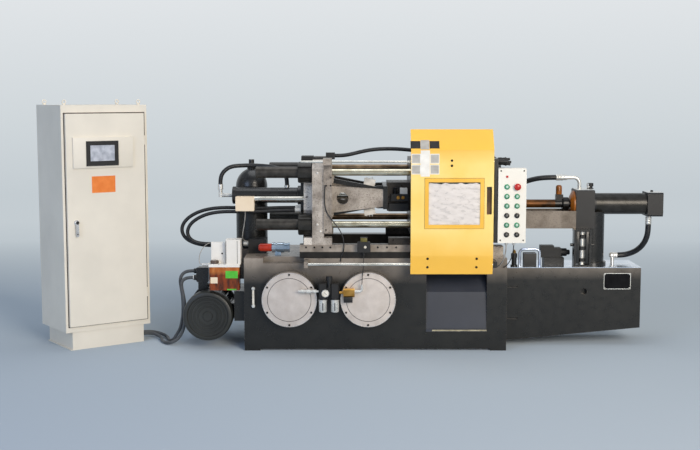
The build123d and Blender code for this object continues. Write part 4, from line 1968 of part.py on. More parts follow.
CONDUITS = [
    [
        plinth_exit(CONDUIT_EXITS[0]), plinth_exit(CONDUIT_EXITS[0], 34), (-1363, 38, 37), (-1329, 31, 30),
        (-1302, 10, 21), (-1284, -21, 14), (-1278, -66, 13), (-1261, -118, 13), (-1232, -164, 13),
        (-1194, -196, 20), (-1160, -208, 48), (-1142, -208, 94), (-1136, -204, 150), (-1135, -198, 214),
        (-1137, -190, 290), (-1137, -182, 350), (-1137, -180, 403), (-1117, -180, 438), (-1082, -180, 458),
        (-1042, -180, 458),
    ],
    [
        plinth_exit(CONDUIT_EXITS[1]), plinth_exit(CONDUIT_EXITS[1], 49), (-1364, 96, 37), (-1313, 86, 29),
        (-1272, 56, 19), (-1247, 13, 13), (-1238, -41, 13), (-1219, -93, 14), (-1192, -134, 24),
        (-1168, -152, 58), (-1156, -158, 108), (-1152, -156, 170), (-1151, -150, 240), (-1152, -141, 318),
        (-1151, -136, 378), (-1151, -135, 433), (-1128, -135, 473), (-1088, -135, 496), (-1042, -135, 496),
    ],
]
CORDS = {
    "clamp_hose": (CLAMP_HOSE, 28),
    "tail_hose_upper": (TAIL_HOSE_UPPER, 24),
    "tail_hose_lower": (TAIL_HOSE_LOWER, 24),
    "head_hose": (HEAD_HOSE, 28),
    "cylinder_hose": (CYLINDER_HOSE, 30),
    "platen_hose": (PLATEN_HOSE, 26),
    "conduit_1": (CONDUITS[0], 22),
    "conduit_2": (CONDUITS[1], 22),
}


def cord_radii(points):
    """The largest smooth arc at each corner of a route."""
    radii = []
    for before, corner, after in zip(points, points[1:], points[2:]):
        first = Vector(*corner) - Vector(*before)
        second = Vector(*after) - Vector(*corner)
        turn = math.radians(first.get_angle(second))
        radii.append(0.45 * min(first.length, second.length) / math.tan(turn / 2))
    return radii


def cord(name, points, diameter):
    radii = cord_radii(points)
    path = FilletPolyline(*points, radius=radii)
    start = Vector(*points[0])
    along = Vector(*points[1]) - start
    tube = sweep(Plane(start, z_dir=along) * Circle(diameter / 2), path=path)
    expected = math.pi * diameter**2 / 4 * path.length
    print(name, "diameter", diameter, "length", round(path.length), "smallest radius", round(min(radii)),
          "volume share", round(tube.volume / expected, 4))
    return tube


NODES = {
    "bed": bed,
    "injection_base": injection_base,
    "deck_sheet": deck_sheet,
    "tank_covers": tank_covers,
    "chute": chute,
    "level_gauge": level_gauge,
    "bed_ways": bed_ways,
    "side_brackets": side_brackets,
    "tail_platen": tail_platen,
    "tie_bars": tie_bars,
    "tie_bar_nuts": tie_bar_nuts,
    "clamp_cylinder": clamp_cylinder,
    "toggle_cheeks": toggle_cheeks,
    "toggle_links": toggle_links,
    "moving_platen": moving_platen,
    "fixed_platen": fixed_platen,
    "guide_rods": guide_rods,
    "rod_brackets": rod_brackets,
    "button_box": button_box,
    "push_buttons": push_buttons,
    "rear_guard": rear_guard,
    "accumulator": accumulator,
    "motor": motor,
    "motor_cowl": motor_cowl,
    "terminal_box": terminal_box,
    "lubricator": lubricator,
    "lubricator_tank": lubricator_tank,
    "air_unit": air_unit,
    "air_valve": air_valve,
    "junction_box": junction_box,
    "limit_switch": limit_switch,
    "oil_filter": oil_filter,
    "shot_sleeve": shot_sleeve,
    "injection_frame": injection_frame,
    "injection_flange": injection_flange,
    "injection_head": injection_head,
    "injection_cylinder": injection_cylinder,
    "support_column": support_column,
    "jack_screw": jack_screw,
    "valve_blocks": valve_blocks,
    "steel_loop": steel_loop,
    "hose_fittings": hose_fittings,
    "cabinet_shell": cabinet_shell,
    "cabinet_plinth": cabinet_plinth,
    "cabinet_plate": cabinet_plate,
    "guard_door": guard_door,
    "guard_window": guard_window,
    "guard_handle": guard_handle,
    "injection_rod": injection_rod,
    "cabinet_door": cabinet_door,
    "screen_panel": screen_panel,
    "door_lock": door_lock,
}

os.makedirs("parts", exist_ok=True)
for node, make in NODES.items():
    export_step(make(), f"parts/{node}.step")
for node, (route, diameter) in CORDS.items():
    export_step(cord(node, route, diameter), f"parts/{node}.step")
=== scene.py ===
"""Finish and fittings of a horizontal cold-chamber die casting machine and its control cabinet.

Metres, in the machine's own frame: X from the clamping end to the injection end, Y away from the
operator, Z up. Sizes named with _MM, and those given to the functions that make or place a piece,
are millimetres, as on a drawing.
"""
import math

import bmesh
import bpy
from mathutils import Matrix, Vector


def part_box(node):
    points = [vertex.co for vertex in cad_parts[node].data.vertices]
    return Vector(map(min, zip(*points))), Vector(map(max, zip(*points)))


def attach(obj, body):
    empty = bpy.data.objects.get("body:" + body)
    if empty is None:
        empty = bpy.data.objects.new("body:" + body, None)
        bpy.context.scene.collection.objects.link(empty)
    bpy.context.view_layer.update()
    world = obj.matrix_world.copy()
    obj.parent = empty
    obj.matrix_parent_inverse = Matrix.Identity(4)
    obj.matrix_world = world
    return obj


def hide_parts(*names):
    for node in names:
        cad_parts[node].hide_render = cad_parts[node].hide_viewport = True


bl_info = {
    "name": "Die Casting Machine",
    "version": (1, 0, 0),
    "blender": (4, 5, 0),
    "location": "View3D > Sidebar > Casting",
    "description": "Paints and fits out a cold-chamber die casting machine around its packed frame",
    "category": "Add Mesh",
}

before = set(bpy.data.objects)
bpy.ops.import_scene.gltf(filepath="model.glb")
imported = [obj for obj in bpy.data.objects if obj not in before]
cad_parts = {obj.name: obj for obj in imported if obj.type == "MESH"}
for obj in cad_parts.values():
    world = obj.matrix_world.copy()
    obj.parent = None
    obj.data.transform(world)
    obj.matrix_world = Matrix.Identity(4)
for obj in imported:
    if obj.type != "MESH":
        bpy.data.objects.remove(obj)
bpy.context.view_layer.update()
MM = 0.001

MACHINE = "machine"
GUARD = "guard"
SHOT_PISTON = "shot_piston"
CABINET_LEAF = "cabinet_leaf"
LOCK_LEVER = "lock_lever"

# Turns that point a piece modelled along +Z another way
UP = Matrix.Identity(4)
FRONT = Matrix.Rotation(math.radians(90), 4, "X")
BACK = Matrix.Rotation(math.radians(-90), 4, "X")
RIGHT = Matrix.Rotation(math.radians(90), 4, "Y")
LEFT = Matrix.Rotation(math.radians(-90), 4, "Y")
DOWN = Matrix.Rotation(math.pi, 4, "X")

# The control cabinet stands turned towards the operator
CABINET_CORNER_MM = (-1848, -382)
CABINET_TURN = math.radians(35.4)
DOOR_FACE_MM = -21

# Where the photograph was taken from
CAMERA_PLACE = (0.0, -7.972, 1.665)
CAMERA_PITCH = math.radians(6.27)
CAMERA_LENS_MM = 60.9
SENSOR_WIDTH_MM = 36
FAR_CLIP = 200

# The studio, in metres
FLOOR_SIZE = (60, 26)
FLOOR_CENTRE = (0, -1, 0)
BACKDROP_HEIGHT = 16
BACKDROP_CURVE = 5


def at(x, y, z, turn=UP):
    """Place in millimetres, with the turn that points the piece."""
    return Matrix.Translation((x * MM, y * MM, z * MM)) @ turn


def on_cabinet(x, y, z, turn=FRONT):
    """Place in millimetres in the cabinet's own square frame."""
    corner = Matrix.Translation((CABINET_CORNER_MM[0] * MM, CABINET_CORNER_MM[1] * MM, 0))
    return corner @ Matrix.Rotation(CABINET_TURN, 4, "Z") @ at(x, y, z, turn)


# Materials


def linear(hex_colour):
    """An sRGB hex colour as the linear values that sockets take."""
    values = []
    for start in (1, 3, 5):
        share = int(hex_colour[start:start + 2], 16) / 255
        values.append(share / 12.92 if share <= 0.04045 else ((share + 0.055) / 1.055) ** 2.4)
    return (*values, 1.0)


def add_node(tree, kind, settings=None, links=None):
    """Add a node, set its inputs, properties or ramp stops, and link its inputs to outputs."""
    node = tree.nodes.new(kind)
    for key, value in (settings or {}).items():
        if key == "stops":
            stops = node.color_ramp.elements
            while len(stops) < len(value):
                stops.new(0.5)
            for stop, (position, colour) in zip(stops, value):
                stop.position = position
                stop.color = colour
        elif isinstance(key, int) or key in node.inputs:
            node.inputs[key].default_value = value
        else:
            setattr(node, key, value)
    for socket, output in (links or {}).items():
        tree.links.new(output, node.inputs[socket])
    return node


def blank_material(name, **shader):
    """A new material with its Principled shader's own sockets set."""
    material = bpy.data.materials.new(name)
    material.use_nodes = True
    tree = material.node_tree
    tree.nodes.clear()
    surface = add_node(tree, "ShaderNodeBsdfPrincipled", shader)
    add_node(tree, "ShaderNodeOutputMaterial", links={"Surface": surface.outputs["BSDF"]})
    return material, tree, surface


def grain(tree, size_mm, stretch=(1, 1, 1), detail=3.0):
    """Noise over Object coordinates whose blobs are about size_mm across."""
    place = add_node(tree, "ShaderNodeTexCoord")
    fitted = add_node(
        tree, "ShaderNodeMapping", {"Scale": stretch}, {"Vector": place.outputs["Object"]}
    )
    noise = add_node(
        tree, "ShaderNodeTexNoise", {"Scale": 1 / (size_mm * MM), "Detail": detail},
        {"Vector": fitted.outputs["Vector"]},
    )
    return noise.outputs["Fac"]


def spread(tree, factor, low, high, start=0.35, end=0.65):
    """Two colours mixed by a factor between start and end."""
    ramp = add_node(
        tree, "ShaderNodeValToRGB", {"stops": [(start, low), (end, high)]}, {"Fac": factor}
    )
    return ramp.outputs["Color"]


def layered(tree, under, over, factor):
    """A colour laid over another by a factor."""
    mix = add_node(tree, "ShaderNodeMix", {"data_type": "RGBA"}, {0: factor, 6: under, 7: over})
    return mix.outputs[2]


def ranged(tree, factor, low, high, start=0.35, end=0.65):
    """A number from low to high as the factor goes from start to end."""
    node = add_node(
        tree, "ShaderNodeMapRange",
        {"From Min": start, "From Max": end, "To Min": low, "To Max": high}, {"Value": factor},
    )
    return node.outputs["Result"]


def along(tree, axis, low_mm, high_mm):
    """0 before low_mm and 1 past high_mm along an axis."""
    place = add_node(tree, "ShaderNodeTexCoord")
    parts = add_node(tree, "ShaderNodeSeparateXYZ", links={"Vector": place.outputs["Object"]})
    return ranged(tree, parts.outputs[axis], 0.0, 1.0, low_mm * MM, high_mm * MM)


def worn_edges(tree, reach_mm):
    """Near 1 along convex edges, where paint has rubbed off, and broken up by a fine grain."""
    rounded = add_node(tree, "ShaderNodeBevel", {"samples": 4, "Radius": reach_mm * MM})
    flat = add_node(tree, "ShaderNodeNewGeometry")
    agree = add_node(
        tree, "ShaderNodeVectorMath", {"operation": "DOT_PRODUCT"},
        {0: rounded.outputs["Normal"], 1: flat.outputs["Normal"]},
    )
    lost = add_node(
        tree, "ShaderNodeMath", {"operation": "SUBTRACT", 0: 1.0}, {1: agree.outputs["Value"]}
    )
    patchy = add_node(
        tree, "ShaderNodeMath", {"operation": "MULTIPLY"},
        {0: lost.outputs["Value"], 1: grain(tree, 22, detail=5)},
    )
    return ranged(tree, patchy.outputs["Value"], 0.0, 1.0, 0.02, 0.12)


def roughen(tree, surface, factor, strength, depth_mm):
    """Bump from a factor, with its real depth."""
    bump = add_node(
        tree, "ShaderNodeBump", {"Strength": strength, "Distance": depth_mm * MM}, {"Height": factor}
    )
    tree.links.new(bump.outputs["Normal"], surface.inputs["Normal"])


def sprayed_paint(name, colour, shade, rough=0.38, chip=None, dust=None, wear_mm=2.0):
    """Sprayed two-pack machine enamel: a slight orange peel, faint cloudy shading, rubbed edges."""
    material, tree, surface = blank_material(name, **{"IOR": 1.5, "Specular IOR Level": 0.5})
    # Clouds 260 mm across keep a large sheet from looking flat
    skin = spread(tree, grain(tree, 260), shade, colour)
    # A pale band rising up to high_mm: part settled dust, part a painted sheen where the gloss would mirror
    # the room
    if dust is not None:
        low_mm, high_mm, dust_and_sheen_colour, share = dust
        dust_and_sheen_share = add_node(
            tree, "ShaderNodeMath", {"operation": "MULTIPLY"},
            {0: along(tree, "Z", low_mm, high_mm),
            1: ranged(tree, grain(tree, 130, detail=4), share * 0.6, share)},
        )
        skin = layered(tree, skin, spread(tree, grain(tree, 14), dust_and_sheen_colour, dust_and_sheen_colour),
            dust_and_sheen_share.outputs["Value"])
    if chip is not None:
        paler_layer = spread(tree, grain(tree, 9), chip, chip)
        skin = layered(tree, skin, paler_layer, worn_edges(tree, wear_mm))
    tree.links.new(skin, surface.inputs["Base Color"])
    # Fingerprints and wiping marks 60 mm across vary the gloss
    tree.links.new(ranged(tree, grain(tree, 60, detail=4), rough - 0.04, rough + 0.05),
        surface.inputs["Roughness"])
    # Orange peel is 1.5 mm wide on the object and is drawn 4 mm wide, so that it shows
    roughen(tree, surface, grain(tree, 4, detail=2), 0.12, 0.25)
    return material


def bare_steel(name, colour, shade, rough=0.24, stretch=(1, 1, 1), line_mm=3.0, relief=0.15, metallic=1.0):
    """Turned or ground steel: fine tool lines along one way, with a thin oily brown film in patches."""
    material, tree, surface = blank_material(name, **{"Metallic": metallic})
    skin = spread(tree, grain(tree, 70, detail=5), shade, colour, 0.3, 0.7)
    tree.links.new(skin, surface.inputs["Base Color"])
    lines = grain(tree, line_mm, stretch, detail=2)
    tree.links.new(ranged(tree, lines, rough - 0.06, rough + 0.1), surface.inputs["Roughness"])
    roughen(tree, surface, lines, relief, 0.1)
    return material


def pitted(tree, skin, speck):
    """The pores and stains of a casting, 6 mm across, over its colour."""
    pores = ranged(tree, grain(tree, 6, detail=6), 0.0, 0.75, 0.55, 0.68)
    return layered(tree, skin, spread(tree, grain(tree, 40), speck, speck), pores)


def milled_casting(name, colour, shade, speck, rough=0.5):
    """Milled grey-iron casting, unpainted: warm grey, speckled by pores, dull with a film of oil."""
    material, tree, surface = blank_material(name, **{"Metallic": 0.55, "Specular IOR Level": 0.5})
    skin = spread(tree, grain(tree, 120, detail=6), shade, colour)
    skin = pitted(tree, skin, speck)
    tree.links.new(skin, surface.inputs["Base Color"])
    tree.links.new(ranged(tree, grain(tree, 18), rough - 0.1, rough + 0.12), surface.inputs["Roughness"])
    roughen(tree, surface, grain(tree, 3, detail=4), 0.3, 0.3)
    return material


def moulded_plastic(name, colour, shade, rough=0.42, **shader):
    """Moulded plastic or rubber: even colour and a fine satin texture from the mould."""
    material, tree, surface = blank_material(name, **shader)
    tree.links.new(spread(tree, grain(tree, 40), shade, colour), surface.inputs["Base Color"])
    # The mould's spark texture is 0.5 mm and is drawn 2 mm wide, so that it shows
    fine = grain(tree, 2, detail=2)
    tree.links.new(ranged(tree, fine, rough - 0.05, rough + 0.08), surface.inputs["Roughness"])
    roughen(tree, surface, fine, 0.1, 0.1)
    return material


def two_finishes(name, first, second, axis, low_mm, high_mm, also=None, relief=0.25, speck=None):
    """One node with two finishes, the second one past high_mm along an axis.

    Each finish is its colour, its shade, its roughness and its share of bare metal. also gives one
    more stretch, as an axis and two places, that has the second finish too.
    """
    material, tree, surface = blank_material(name)
    past = along(tree, axis, low_mm, high_mm)
    if also is not None:
        both = add_node(tree, "ShaderNodeMath", {"operation": "MAXIMUM"}, {0: past, 1: along(tree, *also)})
        past = both.outputs["Value"]
    # Oil and handling leave clouds 70 mm across, over a cut surface with lines 3 mm apart
    clouds = grain(tree, 70, detail=6)
    skins = [spread(tree, clouds, linear(finish[1]), linear(finish[0])) for finish in (first, second)]
    skin = layered(tree, skins[0], skins[1], past)
    if speck is not None:
        skin = pitted(tree, skin, speck)
    tree.links.new(skin, surface.inputs["Base Color"])
    for socket, place in (("Roughness", 2), ("Metallic", 3)):
        tree.links.new(ranged(tree, past, first[place], second[place], 0.0, 1.0), surface.inputs[socket])
    roughen(tree, surface, grain(tree, 3, detail=4), relief, 0.25)
    return material


def ringed_hose(name, colour, shade, pitch_mm, length_mm, depth_mm, rough=0.55):
    """Rubber or steel-cored hose whose wrap marks run round it, spaced along its own length."""
    material, tree, surface = blank_material(name)
    place = add_node(tree, "ShaderNodeTexCoord")
    parts = add_node(tree, "ShaderNodeSeparateXYZ", links={"Vector": place.outputs["UV"]})
    turns = add_node(
        tree, "ShaderNodeMath", {"operation": "MULTIPLY", 1: 2 * math.pi * length_mm / pitch_mm},
        {0: parts.outputs["X"]},
    )
    ring = add_node(tree, "ShaderNodeMath", {"operation": "SINE"}, {0: turns.outputs["Value"]})
    crest = ranged(tree, ring.outputs["Value"], 0.0, 1.0, -1.0, 1.0)
    dusty = spread(tree, grain(tree, 50, detail=5), shade, colour)
    tree.links.new(dusty, surface.inputs["Base Color"])
    tree.links.new(ranged(tree, grain(tree, 30), rough - 0.1, rough + 0.1), surface.inputs["Roughness"])
    roughen(tree, surface, crest, 0.6, depth_mm)
    return material


# Modelling steps


def start_fresh():
    """Object mode with nothing selected, the imported frame neither."""
    if bpy.context.object is not None and bpy.context.object.mode != "OBJECT":
        bpy.ops.object.mode_set(mode="OBJECT")
    bpy.ops.object.select_all(action="DESELECT")


def pick_edges(piece, test):
    """In edit mode, select just the edges whose two ends pass a test."""
    mesh = bmesh.from_edit_mesh(piece.data)
    for edge in mesh.edges:
        edge.select_set(all(test(vertex) for vertex in edge.verts))
    mesh.select_flush_mode()
    bmesh.update_edit_mesh(piece.data)


def leave_edit():
    """Faces turned outwards, and back to object mode."""
    bpy.ops.mesh.select_all(action="SELECT")
    bpy.ops.mesh.normals_make_consistent(inside=False)
    bpy.ops.object.mode_set(mode="OBJECT")


def thicken(piece, thickness):
    """A sheet given its thickness, half of it on each side."""
    bpy.ops.object.modifier_add(type="SOLIDIFY")
    piece.modifiers[-1].thickness = thickness
    piece.modifiers[-1].offset = 0
    bpy.ops.object.modifier_apply(modifier=piece.modifiers[-1].name)


def hollow(rim_mm, height_mm):
    """The active flat piece with its middle cut out and its rim pushed up."""
    bpy.ops.object.mode_set(mode="EDIT")
    bpy.ops.mesh.select_all(action="SELECT")
    bpy.ops.mesh.inset(thickness=rim_mm * MM, depth=0)
    bpy.ops.mesh.delete(type="FACE")
    bpy.ops.mesh.select_all(action="SELECT")
    bpy.ops.mesh.extrude_region_move(TRANSFORM_OT_translate={"value": (0, 0, height_mm * MM)})
    leave_edit()
    return bpy.context.object


def turned(profile_mm, sides=24):
    """A turned piece along +Z, from (height, radius) steps, by extruding and scaling a disc."""
    start_fresh()
    height, radius = profile_mm[0]
    bpy.ops.mesh.primitive_circle_add(
        vertices=sides, radius=radius * MM, fill_type="NGON", location=(0, 0, height * MM)
    )
    piece = bpy.context.object
    bpy.ops.object.transform_apply(location=True, rotation=True, scale=True)
    bpy.ops.object.mode_set(mode="EDIT")
    bpy.ops.mesh.select_all(action="SELECT")
    for next_height, next_radius in profile_mm[1:]:
        bpy.ops.mesh.extrude_region_move(
            TRANSFORM_OT_translate={"value": (0, 0, (next_height - height) * MM)}
        )
        share = next_radius / radius
        bpy.ops.transform.resize(value=(share, share, 1), center_override=(0, 0, 0))
        height, radius = next_height, next_radius
    leave_edit()
    return piece


def slab(width_mm, height_mm, thickness_mm, corner_mm=0.0, edge_mm=0.0):
    """A plate that lies on Z = 0, with rounded corners and softened edges."""
    start_fresh()
    bpy.ops.mesh.primitive_cube_add(size=1, location=(0, 0, thickness_mm * MM / 2))
    piece = bpy.context.object
    piece.scale = (width_mm * MM, height_mm * MM, thickness_mm * MM)
    bpy.ops.object.transform_apply(location=True, rotation=True, scale=True)
    bpy.ops.object.mode_set(mode="EDIT")
    if corner_mm:
        mesh = bmesh.from_edit_mesh(piece.data)
        for edge in mesh.edges:
            low, high = (vertex.co for vertex in edge.verts)
            edge.select_set(abs(low.z - high.z) > thickness_mm * MM / 2)
        mesh.select_flush_mode()
        bmesh.update_edit_mesh(piece.data)
        bpy.ops.mesh.bevel(offset=corner_mm * MM, segments=4, affect="EDGES")
    if edge_mm:
        pick_edges(piece, lambda vertex: vertex.co.z > thickness_mm * MM * 0.99)
        bpy.ops.mesh.bevel(offset=edge_mm * MM, segments=2, affect="EDGES")
    bpy.ops.object.mode_set(mode="OBJECT")
    return piece


def frame_slab(width_mm, height_mm, thickness_mm, rim_mm, drop_mm, corner_mm=0.0):
    """A plate whose face is sunk inside a raised rim, by inset and a push inwards."""
    piece = slab(width_mm, height_mm, thickness_mm, corner_mm)
    bpy.ops.object.mode_set(mode="EDIT")
    mesh = bmesh.from_edit_mesh(piece.data)
    for face in mesh.faces:
        face.select_set(face.normal.z > 0.9)
    bmesh.update_edit_mesh(piece.data)
    bpy.ops.mesh.inset(thickness=rim_mm * MM, depth=0)
    bpy.ops.mesh.inset(thickness=min(drop_mm, rim_mm / 2) * MM, depth=-drop_mm * MM)
    bpy.ops.object.mode_set(mode="OBJECT")
    return piece


def open_frame(width_mm, height_mm, thickness_mm, rim_mm):
    """Flat frame: a sheet with its middle cut out."""
    start_fresh()
    bpy.ops.mesh.primitive_plane_add(size=1)
    bpy.context.object.scale = (width_mm * MM, height_mm * MM, 1)
    bpy.ops.object.transform_apply(location=True, rotation=True, scale=True)
    return hollow(rim_mm, thickness_mm)


def open_ring(outer_mm, inner_mm, height_mm):
    """Ring or tube: a disc with its middle cut out."""
    start_fresh()
    bpy.ops.mesh.primitive_circle_add(vertices=96, radius=outer_mm * MM, fill_type="NGON")
    return hollow(outer_mm - inner_mm, height_mm)


def bent_sheet(profile_mm, left_mm, right_mm, sheet_mm):
    """A sheet folded along (Y, Z) steps, by pulling its edge from fold to fold."""
    start_fresh()
    bpy.ops.mesh.primitive_plane_add(size=1)
    piece = bpy.context.object
    (y0, z0), (y1, z1) = profile_mm[:2]
    bpy.ops.object.mode_set(mode="EDIT")
    mesh = bmesh.from_edit_mesh(piece.data)
    for vertex in mesh.verts:
        x = left_mm if vertex.co.x < 0 else right_mm
        y, z = (y0, z0) if vertex.co.y < 0 else (y1, z1)
        vertex.co = (x * MM, y * MM, z * MM)
    bmesh.update_edit_mesh(piece.data)
    pick_edges(piece, lambda vertex: vertex.co.z > (z0 + z1) / 2 * MM)
    for (before_y, before_z), (y, z) in zip(profile_mm[1:], profile_mm[2:]):
        bpy.ops.mesh.extrude_region_move(
            TRANSFORM_OT_translate={"value": (0, (y - before_y) * MM, (z - before_z) * MM)}
        )
    leave_edit()
    thicken(piece, sheet_mm * MM)
    return piece


def copies(source, places):
    """The source repeated at each place, each copy with its own mesh, joined as one piece."""
    made = []
    for place in places:
        copy = source.copy()
        copy.data = source.data.copy()
        copy.data.transform(place)
        copy.data.update()
        bpy.context.scene.collection.objects.link(copy)
        made.append(copy)
    bpy.data.objects.remove(source)
    return joined(made)


def joined(pieces):
    """Several objects as one mesh."""
    start_fresh()
    for piece in pieces:
        piece.select_set(True)
    bpy.context.view_layer.objects.active = pieces[0]
    if len(pieces) > 1:
        bpy.ops.object.join()
    return bpy.context.object


def finished(piece, name, material, body=MACHINE, angle=35):
    """Name, smooth, paint and seat a piece on its body."""
    start_fresh()
    piece.select_set(True)
    bpy.context.view_layer.objects.active = piece
    bpy.ops.object.transform_apply(location=True, rotation=True, scale=True)
    bpy.ops.object.shade_smooth_by_angle(angle=math.radians(angle))
    piece.name = name
    piece.data.name = name
    piece.data.materials.clear()
    piece.data.materials.append(material)
    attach(piece, body)
    return piece


def fit(source, places, name, material, body=MACHINE):
    """Copies of a source at their places, finished as one piece."""
    return finished(copies(source, places), name, material, body)


def paint_nodes(material, *nodes):
    """Give carried-over nodes their finish."""
    for node in nodes:
        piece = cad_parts[node]
        if not piece.material_slots:
            piece.data.materials.append(material)
        for place in piece.material_slots:
            place.material = material


def front_of(node):
    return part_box(node)[0].y / MM


# Colours and sizes that a user would change


def colour_property(name, hex_colour, description):
    return bpy.props.FloatVectorProperty(
        name=name, description=description, subtype="COLOR", size=4, min=0, max=1,
        default=linear(hex_colour),
    )


class CASTING_PG_colours(bpy.types.PropertyGroup):
    guard: colour_property("Guard", "#F9C24C", "Yellow enamel of the sliding guard")
    cabinet: colour_property("Cabinet", "#EAE2D3", "Cream powder coat of the control cabinet")
    bed: colour_property("Bed", "#1D1D1B", "Near-black enamel of the bed and cylinders")
    chute: colour_property("Chute", "#363A44", "Slate enamel of the chute under the guard")
    casting: colour_property("Casting", "#BCB2A7", "Milled casting of the platens and cheeks")
    button_box: colour_property("Button box", "#F0EBE0", "White powder coat of the push-button box")
    hose: colour_property("Hose", "#17181A", "Black rubber of the oil hoses")
    conduit: colour_property("Conduit", "#54575A", "Grey skin of the cable conduits")


class CASTING_PG_sizes(bpy.types.PropertyGroup):
    cover_bolt: bpy.props.FloatProperty(
        name="Cover bolt", description="Head radius of the tank cover bolts", unit="LENGTH",
        default=0.0065, min=0.003, max=0.01,
    )
    cover_bolt_circle: bpy.props.FloatProperty(
        name="Cover bolt circle", description="Radius of the circle that the cover bolts stand on",
        unit="LENGTH", default=0.164, min=0.15, max=0.17,
    )
    guard_bolt: bpy.props.FloatProperty(
        name="Guard bolt", description="Head radius of the button-head bolts in the guard",
        unit="LENGTH", default=0.008, min=0.004, max=0.012,
    )
    platen_bolt: bpy.props.FloatProperty(
        name="Platen bolt", description="Head radius of the cap screws in the platens",
        unit="LENGTH", default=0.011, min=0.006, max=0.015,
    )


def colours():
    return bpy.context.scene.casting_colours


def sizes():
    return bpy.context.scene.casting_sizes


def darker(colour, share):
    return (*(value * share for value in colour[:3]), 1.0)


def cap_screw(radius_mm):
    """Socket-head cap screw: a short drum with a chamfer and a sunk socket."""
    height = radius_mm * 1.1
    return turned([
        (0, radius_mm), (height * 0.86, radius_mm), (height, radius_mm * 0.86),
        (height, radius_mm * 0.5), (height * 0.45, radius_mm * 0.46),
    ], sides=16)


def button_screw(radius_mm):
    """Button-head screw: a low dome with a small socket."""
    return turned([
        (0, radius_mm), (radius_mm * 0.3, radius_mm * 0.94), (radius_mm * 0.55, radius_mm * 0.7),
        (radius_mm * 0.62, radius_mm * 0.36), (radius_mm * 0.3, radius_mm * 0.32),
    ], sides=16)


def hex_bolt(radius_mm):
    """Hexagon bolt head on a washer."""
    washer = turned([(0, radius_mm * 1.25), (radius_mm * 0.22, radius_mm * 1.25)], sides=20)
    head = turned([
        (radius_mm * 0.2, radius_mm), (radius_mm * 0.75, radius_mm), (radius_mm * 0.9, radius_mm * 0.86),
    ], sides=6)
    return joined([washer, head])


def black_oxide():
    """Black-oxide screws: dark oily steel."""
    return kept(bare_steel, "Black oxide steel", "#3A3937", "#1D1C1B", rough=0.42)


def zinc_plate():
    """Bright zinc plating on screws and couplers: pale, slightly blue steel."""
    return kept(bare_steel, "Bright zinc plate", "#EEEDE8", "#C9C8C2", rough=0.3, relief=0.05, metallic=0.6)


def kept(make, name, *colours, **values):
    """A material made once, from hex or linear colours, and used again by later pieces."""
    colours = [linear(colour) if isinstance(colour, str) else colour for colour in colours]
    return bpy.data.materials.get(name) or make(name, *colours, **values)


def bed_enamel():
    colour = colours().bed
    # Near-black gloss enamel, rubbed to steel on its edges; its pale band by the deck is part dust, part
    # painted sheen
    return kept(sprayed_paint, "Black machine enamel", colour, darker(colour, 0.7), rough=0.3,
        chip=linear("#6B6259"),
        dust=(440, 610, linear("#A69A8D"), 0.9))


def unit_enamel():
    """The same black enamel on the cylinders and fittings, without the bed's band of dust and painted sheen.
    """
    colour = colours().bed
    return kept(sprayed_paint, "Black unit enamel", "#232323", darker(colour, 0.9), rough=0.26,
        chip=linear("#6E6862"), wear_mm=1.5)


def cast_iron():
    # Milled casting: warm grey, speckled, dull with oil
    return kept(milled_casting, "Milled grey iron", colours().casting, "#857B72", "#3E3935")


def ground_steel():
    """Hard-chromed and ground rods: bright, with lines round the rod too fine to see one by one."""
    return kept(bare_steel, "Hard chrome rod", "#F2EFE6", "#D8D3C6", rough=0.2, stretch=(0.02, 1, 1),
        relief=0.03)


def black_plastic():
    # Moulded plastic: near black, satin
    return kept(moulded_plastic, "Black moulded plastic", "#161617", "#0D0D0E", rough=0.5)


def cast_brass():
    """Machined brass ports and nuts: warm yellow, with tool lines."""
    return kept(bare_steel, "Cast brass", "#D9A85B", "#A87A38", rough=0.3)


